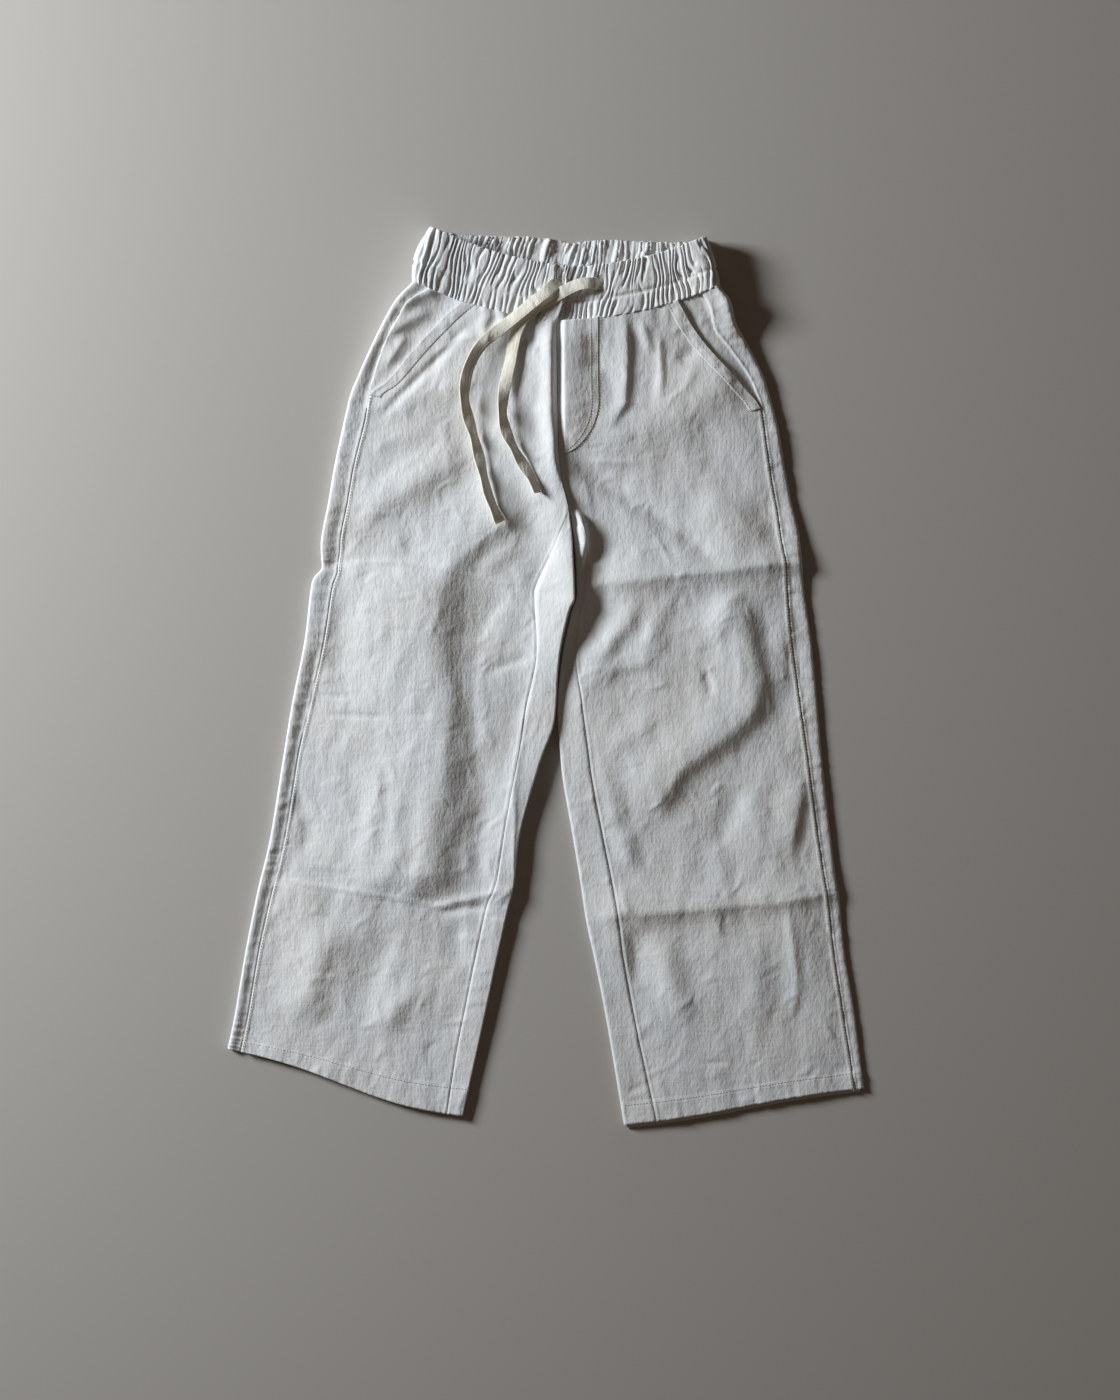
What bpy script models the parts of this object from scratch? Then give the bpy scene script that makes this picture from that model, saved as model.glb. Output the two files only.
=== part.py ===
"""Child's drawstring trousers in washed linen, laid flat on a table with the front up.

+Z is up from the table, +Y runs from the hems to the waist, and +X points to the
wearer's left. Right and left are the wearer's. The origin lies on the table, under the
middle of the garment. Sizes are in millimetres, and become metres where a mesh is made.
"""

import math
from collections import namedtuple

import bmesh
import bpy
from mathutils import Vector

MM = 0.001

# Cloth and seams
WALL = 1.2  # wall of a single panel
BAND_WALL = 3.0  # waistband: folded cloth over elastic
PATCH_WALL = 0.9  # what is sewn flat onto a panel
SEAM_GAP = 0.3  # between neighbours at a seam
CENTRE_GAP = 0.3  # from the centre seam to each half
WAIST_GAP = 0.5  # from the waistband down to the panels
FACING_GAP = 0.9  # from the waistband down to the pocket facings
DROP = WALL + 0.5  # how far the pocket facing lies under the cloth around it

# How a leg lies: its edges are soft folds that stand higher than its middle
EDGE_ROLL = 5.0  # reach of the rounded fold, seen from above
EDGE_SPREAD = 34.0  # reach of the slope from a fold down to the middle
LOWEST = 3.4  # the upper layer stays clear of the layer on the table
ROW_STEP = 21.0  # longest step between two rows of a panel
UNDER_STEPS = 5
ROLL_STEPS = 4
MIDDLE_STEPS = 8
FLY_STEPS = 2
INSEAM_STEPS = 2

# Pockets and mock fly
POCKET_BAND = 9.0
FACING_UNDER_FRONT = 9.0
FACING_UNDER_SEAM = 3.5
FACING_STEPS = 5
FLY_WIDTH = 33.0
FLY_TIP = 5.0
FLY_CURVE_TOP = 201.0
FLY_END = 165.0

# Waistband
GATHERS_A_SIDE = 38  # gathers from the centre front round to the centre back
POINTS_A_GATHER = 4
GATHER_DEPTH = 1.1
RIGHT_BULGE = 2.6  # how far the band's outer fold swells out half way up
LEFT_BULGE = 1.3
CHANNEL = 0.36  # height of the lower stitch line, as a share of the band

# Drawstring: a flat tape, sewn shut, out of two buttonholes
TAPE_WIDTH = 8.0
TAPE_THICKNESS = 1.4
HOLE_LENGTH = 13.0
HOLE_WIDTH = 4.5
HOLE_STITCH = 0.9

# A row of a leg runs from its outer fold (out) to its inner fold or the centre seam (in).
# sag bends it towards the hem, skew turns that into a lazy S, and back_up lifts its centre
# on the back. seam, mouth and inseam are distances along it: side seam and pocket mouth
# from the outer fold, inseam from the inner one. The rises are heights above the table.
Row = namedtuple(
    "Row",
    "name out_x out_y in_x in_y sag skew back_up seam mouth inseam"
    " rise_out rise_mid rise_in",
)

RIGHT_LEG = (
    Row("waist", -99.1, 294.1, 7.5, 263.7, 5.5, 0.0, 16, 13.5, 38.0, 0, 20, 14.5, 15),
    Row("hip_1", -112.0, 281.2, 7.5, 246.6, 4.0, 0.0, 13, 9.5, 37.5, 0, 17.5, 12.5, 13.5),
    Row("hip_2", -127.0, 254.6, 8.0, 224.6, 2.0, 0.0, 9, 9.5, 31.5, 0, 13, 10.5, 12),
    Row("hip_3", -141.3, 223.3, 8.4, 198.6, 0.5, 0.0, 5, 13.0, 22.0, 0, 10, 8.5, 11),
    Row("pocket", -146.2, 211.5, 8.7, 189.0, 0.0, 0.0, 3, 14.5, 14.5, 0, 9, 8, 11),
    Row("hip_4", -151.5, 189.8, 9.0, 169.5, 0.0, 0.0, 1, 16.0, 16.0, 0, 8, 7, 11),
    Row("hip_5", -159.0, 154.5, 11.3, 147.0, 0.0, 0.0, 0, 15.0, 15.0, 0, 6.5, 6, 11),
    Row("crotch", -162.8, 132.0, 16.6, 126.8, 0.0, 0.0, 0, 15.0, 15.0, 0, 6, 5.5, 12),
    Row("thigh", -168.8, 98.2, 19.8, 102.0, 0.0, 0.0, 0, 15.0, 15.0, 12.0, 5.5, 5, 13),
    Row("fold_a", -168.0, 81.8, 21.8, 59.2, 0.0, 0.0, 0, 12.5, 12.5, 31.0, 5.5, 5.2, 13.5),
    Row("fold_b", -174.8, 72.0, 18.0, 49.5, 0.0, 0.0, 0, 16.5, 16.5, 27.0, 5.5, 5.2, 13),
    Row("thigh_2", -180.8, 27.0, 9.8, 10.5, 0.0, 0.0, 0, 15.0, 15.0, 17.5, 5.5, 5, 10),
    Row("knee", -190.5, -21.8, 6.8, -31.5, 0.0, 0.0, 0, 14.0, 14.0, 23.0, 5.5, 5, 8),
    Row("knee_2", -197.2, -63.0, -4.5, -65.2, 0.0, 0.0, 0, 11.5, 11.5, 17.5, 5.5, 5, 8),
    Row("calf", -207.0, -123.0, -20.2, -123.0, 0.0, 0.0, 0, 11.5, 11.5, 12.0, 5, 4.5, 7.5),
    Row("calf_2", -211.5, -142.5, -24.0, -157.5, 0.0, 0.0, 0, 11.5, 11.5, 14.0, 5, 5, 7.5),
    Row("fold_c", -214.5, -153.8, -28.5, -175.5, 0.0, 0.0, 0, 11.5, 11.5, 16.5, 5, 5.5, 7),
    Row("shin", -225.0, -205.5, -36.0, -209.2, 0.0, 0.0, 0, 10.5, 10.5, 16.5, 5, 4.5, 6),
    Row("ankle", -234.0, -258.0, -48.8, -269.2, 1.0, 1.0, 0, 10.5, 10.5, 16.0, 4.8, 4.3, 5.5),
    Row("hem", -238.5, -279.0, -62.2, -329.6, 2.0, 3.0, 0, 10.5, 10.5, 12.5, 4.2, 4, 4.8),
)

LEFT_LEG = (
    Row("waist", 129.7, 290.4, 7.5, 263.7, 5.5, 0.0, 16, 14.0, 31.8, 0, 20, 14.5, 12),
    Row("hip_1", 138.0, 279.7, 7.5, 246.6, 4.0, 0.0, 13, 16.5, 34.0, 0, 17.5, 12.5, 10.5),
    Row("hip_2", 142.0, 265.0, 7.7, 226.8, 3.0, 0.0, 9, 17.0, 29.5, 0, 13, 10.5, 9.5),
    Row("hip_3", 150.4, 249.5, 8.2, 209.8, 2.0, 0.0, 6, 14.5, 26.5, 0, 11.5, 9.5, 9),
    Row("hip_4", 163.5, 223.5, 8.7, 188.2, 1.0, 0.0, 3, 11.0, 18.5, 0, 10, 8.5, 8.5),
    Row("pocket", 170.2, 201.0, 8.9, 173.2, 0.0, 0.0, 1, 9.5, 9.5, 0, 9, 8, 8),
    Row("hip_5", 174.0, 186.0, 9.3, 163.5, 0.0, 0.0, 0, 11.0, 11.0, 0, 8.5, 7.5, 8),
    Row("hip_6", 180.0, 150.8, 12.3, 141.0, 0.0, 0.0, 0, 12.0, 12.0, 0, 7, 6.2, 8),
    Row("crotch", 184.5, 128.2, 16.6, 126.8, 0.0, 0.0, 0, 12.5, 12.5, 0, 6.5, 5.8, 7.5),
    Row("thigh", 189.8, 105.8, 20.8, 102.0, 0.0, 0.0, 0, 14.5, 14.5, 9.0, 6, 5.5, 8),
    Row("fold_a", 192.0, 82.5, 23.0, 62.0, 0.0, 0.0, 0, 12.5, 12.5, 6.0, 6, 5.5, 5.5),
    Row("fold_b", 193.5, 64.5, 19.3, 48.0, 0.0, 0.0, 0, 13.0, 13.0, 6.0, 6, 5.5, 5.5),
    Row("thigh_2", 198.8, 27.0, 11.6, 10.5, 0.0, 0.0, 0, 15.0, 15.0, 11.0, 5.8, 5.2, 5.2),
    Row("knee", 203.2, -18.0, 8.6, -23.3, 0.0, 0.0, 0, 13.5, 13.5, 19.0, 5.8, 5, 5.2),
    Row("knee_2", 207.0, -63.0, 11.2, -66.0, 0.0, 0.0, 0, 11.0, 11.0, 22.0, 5.8, 5, 5.5),
    Row("calf", 213.8, -123.0, 19.5, -117.0, 0.0, 0.0, 0, 10.0, 10.0, 23.0, 5.5, 4.8, 5.5),
    Row("calf_2", 217.5, -153.0, 25.5, -153.0, 0.0, 0.0, 0, 9.0, 9.0, 24.0, 5.5, 4.8, 5.5),
    Row("fold_c", 219.8, -165.8, 30.0, -183.0, 0.0, 0.0, 0, 9.0, 9.0, 24.5, 5.5, 5.2, 5.5),
    Row("shin", 223.5, -204.0, 36.8, -214.5, 0.0, 0.0, 0, 8.5, 8.5, 22.0, 5.2, 4.8, 5.2),
    Row("ankle", 230.2, -245.2, 45.0, -256.5, 0.0, 0.4, 0, 9.0, 9.0, 21.5, 5, 4.5, 5),
    Row("hem", 238.5, -309.0, 58.5, -336.8, 0.0, 1.2, 0, 7.5, 7.5, 25.0, 4.5, 4, 4.6),
)

# The waistband's upper edge, as one more row for each side
RIGHT_RIM = Row("rim", -86.3, 334.8, 19.5, 304.8, 5.0, 0.0, 19, 0, 0, 0, 21, 17, 17)
LEFT_RIM = Row("rim", 119.2, 327.5, 19.5, 304.8, 5.0, 0.0, 19, 0, 0, 0, 21, 17, 17)

# The centre seam bends towards the crotch: x at each y
CENTRE_LINE = ((263.7, 7.5), (206.0, 8.3), (169.5, 9.0), (147.0, 11.3), (126.8, 16.6))

# Folds of the front, as ridges (plus) and troughs (minus) along straight lines
Fold = namedtuple("Fold", "name x1 y1 x2 y2 height width")

FOLDS = (
    Fold("right_hip_trough", -147, 92, -72, 156, -1.8, 13),
    Fold("right_hip_ridge", -128, 150, -57, 207, 1.8, 12),
    Fold("right_thigh_ridge", -88, 62, -70, -86, 4.5, 15),
    Fold("right_press_a", -150, 85, -14, 63, -1.6, 7),
    Fold("right_press_b", -213, -156, -32, -181, 1.8, 8),
    Fold("right_shin_ridge", -158, -194, -181, -258, 2.0, 11),
    Fold("right_ankle_ridge", -87, -213, -125, -280, 1.8, 11),
    Fold("left_fly_ridge", 49, 258, 45, 190, 2.0, 8),
    Fold("left_hip_ridge", 40, 150, 115, 98, 2.0, 11),
    Fold("left_hip_trough", 62, 160, 150, 116, -1.6, 12),
    Fold("left_press_a", 44, 66, 189, 84, 2.4, 8),
    Fold("left_thigh_ridge", 134, 57, 157, 8, 1.8, 9),
    Fold("left_knee_ridge_a", 152, 8, 136, -34, 4.0, 11),
    Fold("left_knee_ridge_b", 136, -34, 76, -88, 4.0, 11),
    Fold("left_press_b", 33, -183, 217, -166, 1.8, 8),
    Fold("left_shin_ridge", 85, -190, 127, -273, 1.8, 11),
)

# Each end of the drawstring: its route from the buttonhole to its cut end
RIGHT_TAPE = (
    (10.5, 295.5, 19.6),
    (4.0, 288.6, 20.9),
    (-3.8, 282.0, 21.4),
    (-11.3, 276.0, 21.2),
    (-22.7, 266.8, 20.2),
    (-30.8, 260.6, 19.0),
    (-40.0, 253.6, 17.6),
    (-49.0, 245.0, 16.2),
    (-56.0, 233.0, 15.2),
    (-60.0, 219.0, 13.7),
    (-60.5, 205.0, 12.8),
    (-57.5, 191.0, 11.9),
    (-53.5, 178.0, 11.2),
    (-50.0, 164.0, 10.5),
    (-46.5, 149.0, 9.9),
    (-43.0, 135.5, 9.5),
    (-38.5, 124.0, 9.2),
    (-34.0, 114.5, 9.0),
)
LEFT_TAPE = (
    (40.5, 290.8, 19.4),
    (33.0, 291.8, 20.4),
    (25.5, 291.2, 20.2),
    (16.8, 287.8, 19.3),
    (7.9, 282.9, 18.9),
    (-0.9, 278.4, 18.9),
    (-9.2, 273.0, 18.7),
    (-16.8, 266.0, 18.0),
    (-21.8, 256.5, 17.0),
    (-24.4, 246.0, 16.2),
    (-26.6, 234.0, 15.4),
    (-29.6, 221.0, 14.2),
    (-31.8, 208.0, 13.3),
    (-32.3, 195.0, 12.4),
    (-29.6, 182.0, 11.9),
    (-24.0, 170.0, 11.6),
    (-17.0, 157.5, 11.7),
    (-10.5, 147.0, 11.9),
    (-6.5, 136.5, 12.0),
)

# Linen, bleached to off-white: sRGB as linear values
CLOTH_COLOUR = (0.76, 0.75, 0.71)
TAPE_COLOUR = (0.78, 0.75, 0.66)


def blended(a, b, share):
    """Number between a and b."""
    return a + (b - a) * share


def eased(share):
    """Share from 0 to 1, smooth at both ends."""
    share = min(1.0, max(0.0, share))
    return share * share * (3 - 2 * share)


def row_at(leg, t):
    """Row at place t down a leg, smooth through the table's rows, with no overshoot."""
    k = min(int(t), len(leg) - 2)
    u = t - k
    values = []
    for column in range(1, len(Row._fields)):
        at = [leg[min(max(k + j, 0), len(leg) - 1)][column] for j in (-1, 0, 1, 2)]
        steps = [at[j + 1] - at[j] for j in range(3)]
        slopes = []
        for before, after in ((steps[0], steps[1]), (steps[1], steps[2])):
            same_way = before * after > 0
            slopes.append(2 * before * after / (before + after) if same_way else 0.0)
        if k == 0:
            slopes[0] = steps[1]
        if k == len(leg) - 2:
            slopes[1] = steps[1]
        values.append(
            (1 + 2 * u) * (1 - u) ** 2 * at[1]
            + u * (1 - u) ** 2 * slopes[0]
            + u * u * (3 - 2 * u) * at[2]
            - u * u * (1 - u) * slopes[1]
        )
    row = Row(leg[k].name, *values)
    if t <= crotch_of(leg):
        row = row._replace(in_x=centre_x(row.in_y))
    return row


def crotch_of(leg):
    """Place of the crotch down a leg, before every place if there is none."""
    names = [row.name for row in leg]
    return names.index("crotch") if "crotch" in names else -1


def centre_x(y):
    """Where the centre seam runs at height y of the layout."""
    for (y1, x1), (y2, x2) in zip(CENTRE_LINE, CENTRE_LINE[1:]):
        if y >= y2:
            return blended(x2, x1, (y - y2) / (y1 - y2))
    return CENTRE_LINE[-1][1]


def places(leg, first=0.0, last=None):
    """Places down a leg for a panel's rows: all of the table's, and more between."""
    last = len(leg) - 1 if last is None else last
    found = []
    for k in range(len(leg) - 1):
        a, b = leg[k], leg[k + 1]
        long = max(
            math.dist((a.out_x, a.out_y), (b.out_x, b.out_y)),
            math.dist((a.in_x, a.in_y), (b.in_x, b.in_y)),
        )
        steps = max(1, math.ceil(long / ROW_STEP))
        found += [k + j / steps for j in range(steps)]
    found = [t for t in found + [len(leg) - 1] if first <= t <= last]
    return found


def length_of(row):
    """Width of the laid garment along a row."""
    return math.dist((row.out_x, row.out_y), (row.in_x, row.in_y))


def inseam_of(row):
    """Distance from the inner fold to the inseam, which always lies past the fold."""
    return max(row.inseam, EDGE_ROLL + 1.0)


def flat_place(row, d, on_back=False):
    """x and y at distance d from the outer fold."""
    s = d / length_of(row)
    x = blended(row.out_x, row.in_x, s)
    sag = row.sag * 4 * s * (1 - s)
    y = blended(row.out_y, row.in_y, s) - sag + row.skew * math.sin(2 * math.pi * s)
    if on_back and row.back_up > 0:
        y += row.back_up * eased(s) + sag
    return x, y


def fold_height(x, y):
    """Sum of the folds at a place."""
    total = 0.0
    for fold in FOLDS:
        along_x, along_y = fold.x2 - fold.x1, fold.y2 - fold.y1
        long = math.hypot(along_x, along_y)
        share = ((x - fold.x1) * along_x + (y - fold.y1) * along_y) / long**2
        across = ((x - fold.x1) * along_y - (y - fold.y1) * along_x) / long
        past_end = max(-share, share - 1, 0.0) * long
        off = math.hypot(across, past_end) / fold.width
        total += fold.height * math.exp(-off * off)
    return total


def top_point(leg, t, d, up=0.0):
    """Point of the upper outer surface, d from the outer fold, raised by up."""
    row = row_at(leg, t)
    width = length_of(row)
    x, y = flat_place(row, d)
    from_out, from_in = d / EDGE_SPREAD, (width - d) / EDGE_SPREAD
    z = row.rise_mid
    z += (row.rise_out - row.rise_mid) * (1 - eased(from_out))
    z += (row.rise_in - row.rise_mid) * (1 - eased(from_in))
    inside = eased((d - 12) / 18)
    if t > crotch_of(leg):
        inside *= eased((width - d - 12) / 18)
    z = max(z + fold_height(x, y) * inside, LOWEST)
    return Vector((x, y, z + up))


def rolled(row, z_top, angle, at_inner, on_back=False):
    """Point on a rounded edge fold: angle 90 is on top, 0 at the side, -90 below."""
    reach = EDGE_ROLL * (1 - math.cos(math.radians(angle)))
    d = length_of(row) - reach if at_inner else reach
    x, y = flat_place(row, d, on_back and angle <= 0)
    return Vector((x, y, z_top / 2 * (1 + math.sin(math.radians(angle)))))


def roll_angles(down=True):
    """Angles over a rounded edge fold."""
    angles = [90 - 180 * j / ROLL_STEPS for j in range(ROLL_STEPS + 1)]
    return angles if down else angles[::-1]


def back_section(leg, t):
    """Outer surface of a back panel across one row.

    It starts at the side seam on top, goes round the outer fold, under the leg and, below
    the crotch, round the inner fold to the inseam.
    """
    row = row_at(leg, t)
    width = length_of(row)
    points = [top_point(leg, t, row.seam - SEAM_GAP / 2)]
    z_out = top_point(leg, t, EDGE_ROLL).z
    points += [rolled(row, z_out, angle, False, True) for angle in roll_angles()]
    for j in range(1, UNDER_STEPS):
        d = blended(EDGE_ROLL, width - EDGE_ROLL, j / UNDER_STEPS)
        points.append(Vector((*flat_place(row, d, True), 0.0)))
    if t > crotch_of(leg):
        z_in = top_point(leg, t, width - EDGE_ROLL).z
        points += [rolled(row, z_in, angle, True) for angle in roll_angles(False)]
        seam = width - inseam_of(row) + SEAM_GAP / 2
        for j in range(1, INSEAM_STEPS + 1):
            d = blended(width - EDGE_ROLL, seam, j / INSEAM_STEPS)
            points.append(top_point(leg, t, d))
    else:
        steps = ROLL_STEPS + INSEAM_STEPS
        for j in range(steps + 1):
            d = blended(width - EDGE_ROLL, width - CENTRE_GAP, j / steps)
            points.append(Vector((*flat_place(row, d, True), 0.0)))
    return points


def fly_width(y):
    """Width of the mock fly at height y of the layout: straight, then a J-shaped end."""
    into_curve = (FLY_CURVE_TOP - y) / (FLY_CURVE_TOP - FLY_END)
    if into_curve <= 0:
        return FLY_WIDTH
    if into_curve < 1:
        return max(FLY_TIP, FLY_WIDTH * math.sqrt(1 - into_curve**2))
    return blended(FLY_TIP, FLY_WIDTH, min(1.0, into_curve - 1))


def front_columns(leg, t):
    """Distances from the outer fold of a front panel's columns, at place t."""
    row = row_at(leg, t)
    outer = row.mouth + SEAM_GAP / 2
    inner = length_of(row) - CENTRE_GAP
    below_crotch = t - crotch_of(leg)
    if below_crotch > 0:
        room = SEAM_GAP / 2 + WALL * max(0.0, 1 - below_crotch)
        inner = length_of(row) - inseam_of(row) - room
    fly = inner - fly_width(row.in_y)
    columns = [outer]
    for j in range(MIDDLE_STEPS + 1):
        columns.append(blended(outer + POCKET_BAND, fly, j / MIDDLE_STEPS))
    for j in range(1, FLY_STEPS + 1):
        columns.append(blended(fly, inner, j / FLY_STEPS))
    return columns


def front_grid(leg, first, last, columns, up=0.0):
    """Points of a front panel's own rows and columns, raised by up."""
    grid = []
    for t in places(leg, first, last):
        distances = front_columns(leg, t)[columns]
        grid.append([top_point(leg, t, d, up) for d in distances])
    return below_waistband(grid) if first == 0 else grid


def below_waistband(grid, gap=WAIST_GAP):
    """Grid with its first row moved clear of the waistband."""
    return [[point - Vector((0, gap, 0)) for point in grid[0]]] + grid[1:]


def make_material(name, colour, roughness):
    """Plain material in a part's colour."""
    material = bpy.data.materials.new(name)
    material.use_nodes = True
    shader = material.node_tree.nodes["Principled BSDF"]
    shader.inputs["Base Color"].default_value = (*colour, 1)
    shader.inputs["Roughness"].default_value = roughness
    shader.inputs["Metallic"].default_value = 0.0
    material.diffuse_color = (*colour, 1)
    return material


def add_object(name, mesh, colour, collection):
    """Object with its own material, in the garment's collection."""
    item = bpy.data.objects.new(name, mesh)
    item.data.materials.append(make_material(name, colour, 0.9))
    collection.objects.link(item)
    return item


def sheet(name, grid, thickness, collection):
    """Wall whose outer face is a grid of points, with its thickness inwards."""
    mesh = bpy.data.meshes.new(name)
    work = bmesh.new()
    rows = [[work.verts.new(point * MM) for point in row] for row in grid]
    for above, below in zip(rows, rows[1:]):
        for j in range(len(above) - 1):
            work.faces.new((above[j], below[j], below[j + 1], above[j + 1]))
    work.to_mesh(mesh)
    work.free()
    mesh.shade_smooth()
    item = add_object(name, mesh, CLOTH_COLOUR, collection)
    solid = item.modifiers.new("wall", "SOLIDIFY")
    solid.thickness = thickness * MM
    solid.offset = -1
    return item


def facing_out(grid, up_way):
    """Grid with its columns turned round if its faces would point the wrong way."""
    a, b, c = grid[0][0], grid[1][0], grid[0][1]
    normal = (b - a).cross(c - a)
    return grid if normal.z * up_way > 0 else [row[::-1] for row in grid]


def make_front(name, leg, collection):
    """Front panel of one leg, from the waistband to the hem."""
    grid = front_grid(leg, 0, None, slice(None))
    sheet(name, facing_out(grid, 1), WALL, collection)


def make_back(name, leg, collection):
    """Back panel of one leg, which wraps round both edges onto the front."""
    grid = below_waistband([back_section(leg, t) for t in places(leg)])
    sheet(name, facing_out(grid, 1), WALL, collection)


def make_pocket_facing(name, leg, collection):
    """Cloth that shows in the pocket mouth, sewn in behind the front panel."""
    end = [row.name for row in leg].index("pocket") + 0.5
    grid = []
    for t in places(leg, 0, end):
        row = row_at(leg, t)
        first = row.seam - FACING_UNDER_SEAM
        last = row.mouth + FACING_UNDER_FRONT
        steps = [blended(first, last, j / FACING_STEPS) for j in range(FACING_STEPS + 1)]
        grid.append([top_point(leg, t, d, -DROP) for d in steps])
    grid = below_waistband(grid, FACING_GAP)
    sheet(name, facing_out(grid, 1), WALL, collection)


def make_pocket_band(name, leg, collection):
    """Turned and stitched edge along the pocket mouth."""
    end = [row.name for row in leg].index("pocket")
    up = SEAM_GAP + PATCH_WALL
    grid = front_grid(leg, 0, end, slice(0, 2), up)
    sheet(name, facing_out(grid, 1), PATCH_WALL, collection)


def make_fly(leg, collection):
    """Mock fly on the left front, beside the centre seam."""
    crotch = crotch_of(leg)
    last = max(t for t in places(leg, 0, crotch) if row_at(leg, t).in_y > FLY_END)
    columns = slice(-FLY_STEPS - 1, None)
    grid = front_grid(leg, 0, last, columns, SEAM_GAP + PATCH_WALL)
    sheet("mock_fly", facing_out(grid, 1), PATCH_WALL, collection)


def ring_side(row, leg_like):
    """Half of the waistband's line at a row, from the centre front to the centre back."""
    width = length_of(row)
    points = []
    steps = 24
    for j in range(steps + 1):
        d = blended(width, EDGE_ROLL, j / steps)
        points.append(top_point(leg_like, 0, d))
    z_out = points[-1].z
    points += [rolled(row, z_out, angle, False, True) for angle in range(75, -91, -15)]
    for j in range(1, steps + 1):
        d = blended(EDGE_ROLL, width, j / steps)
        points.append(Vector((*flat_place(row, d, True), 0.0)))
    return points


def along(points, share):
    """Point at a share of a line's length."""
    lengths = [0.0]
    for a, b in zip(points, points[1:]):
        lengths.append(lengths[-1] + (b - a).length)
    target = share * lengths[-1]
    for k in range(1, len(points)):
        if lengths[k] >= target - 1e-9:
            piece = lengths[k] - lengths[k - 1]
            return points[k - 1].lerp(points[k], (target - lengths[k - 1]) / piece)
    return points[-1]


def gather_share(k, count):
    """Share along a half of the band of its k-th column: gathers differ in width."""
    even = k / count
    wobble = 0.35 / GATHERS_A_SIDE
    return even + wobble * math.sin(2 * math.pi * 9 * even) * math.sin(math.pi * even)


def make_waistband(collection):
    """Gathered waistband: a ring round the waist, thick with elastic."""
    right = ring_side(RIGHT_LEG[0], RIGHT_LEG), ring_side(RIGHT_RIM, (RIGHT_RIM,) * 2)
    left = ring_side(LEFT_LEG[0], LEFT_LEG), ring_side(LEFT_RIM, (LEFT_RIM,) * 2)
    count = GATHERS_A_SIDE * POINTS_A_GATHER
    columns = [(right, k) for k in range(count)]
    columns += [(left, k) for k in range(count, 0, -1)]
    levels = ((0, 0.5), (CHANNEL / 2, 0.9), (CHANNEL, 0.4), (0.7, 1.0), (1, 0.7))
    shape = []
    for (low, high), k in columns:
        share = gather_share(k, count)
        shape.append((along(low, share), along(high, share)))
    total = len(shape)
    bulges = [RIGHT_BULGE] * count + [LEFT_BULGE] * count
    rings = {"outer": [], "inner": []}
    for level, depth in levels:
        middle = [low.lerp(high, level) for low, high in shape]
        outer, inner = [], []
        for j, point in enumerate(middle):
            onward = middle[(j + 3) % total] - middle[(j - 3) % total]
            out = Vector((onward.z, 0, -onward.x)).normalized()
            if j < total / 2 and out.z < 0 and point.z > 5 or out.length < 0.5:
                out = -out
            wave = math.cos(2 * math.pi * j / POINTS_A_GATHER)
            uneven = 0.8 + 0.2 * math.sin(2.3 * j / POINTS_A_GATHER)
            crest = GATHER_DEPTH * depth * uneven * (wave - 1) / 2
            bulge = bulges[j] * math.sin(math.pi * level) * abs(out.x)
            outer.append(point + out * (crest + bulge))
            inner.append(point - out * BAND_WALL)
        rings["outer"].append(outer)
        if level in (0, 1):
            rings["inner"].append(inner)
    add_ring("waistband", rings, collection)


def add_ring(name, rings, collection):
    """Closed ring from its outer lines and its two inner ones."""
    lines = rings["outer"] + rings["inner"][::-1]
    work = bmesh.new()
    loops = [[work.verts.new(point * MM) for point in line] for line in lines]
    count = len(loops[0])
    for k, low in enumerate(loops):
        high = loops[(k + 1) % len(loops)]
        for j in range(count):
            i = (j + 1) % count
            work.faces.new((low[j], low[i], high[i], high[j]))
    bmesh.ops.recalc_face_normals(work, faces=work.faces)
    mesh = bpy.data.meshes.new(name)
    work.to_mesh(mesh)
    work.free()
    add_object(name, mesh, CLOTH_COLOUR, collection)


def make_tape(name, route, collection):
    """One free end of the flat drawstring."""
    profile = bpy.data.curves.new(name + "_profile", "CURVE")
    profile.dimensions = "2D"
    outline = profile.splines.new("POLY")
    half_width, half_thick = TAPE_WIDTH / 2 * MM, TAPE_THICKNESS / 2 * MM
    corners = ((-1, -1), (-1, 1), (1, 1), (1, -1))
    outline.points.add(len(corners) - 1)
    for point, (across, up) in zip(outline.points, corners):
        point.co = (across * half_width, up * half_thick, 0, 1)
    outline.use_cyclic_u = True
    guide = bpy.data.objects.new(name + "_profile", profile)
    guide.hide_render = True
    guide.display_type = "WIRE"
    bpy.data.collections["guides"].objects.link(guide)
    curve = bpy.data.curves.new(name, "CURVE")
    curve.dimensions = "3D"
    curve.twist_mode = "Z_UP"
    curve.bevel_mode = "OBJECT"
    curve.bevel_object = guide
    curve.use_fill_caps = True
    line = curve.splines.new("POLY")
    line.points.add(len(route) - 1)
    for point, place in zip(line.points, route):
        point.co = (*[value * MM for value in place], 1)
    add_object(name, curve, TAPE_COLOUR, collection)


def make_buttonhole(name, centre, collection):
    """Stitched oval that the drawstring comes out of."""
    bpy.ops.mesh.primitive_torus_add(
        major_segments=16,
        minor_segments=6,
        major_radius=HOLE_WIDTH / 2 * MM,
        minor_radius=HOLE_STITCH * MM,
    )
    ring = bpy.context.object
    for vertex in ring.data.vertices:
        vertex.co.y += math.copysign((HOLE_LENGTH - HOLE_WIDTH) / 2 * MM, vertex.co.y)
    ring.name = name
    ring.location = Vector(centre) * MM
    ring.data.materials.append(make_material(name, CLOTH_COLOUR, 0.9))
    for holder in ring.users_collection:
        holder.objects.unlink(ring)
    collection.objects.link(ring)


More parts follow.
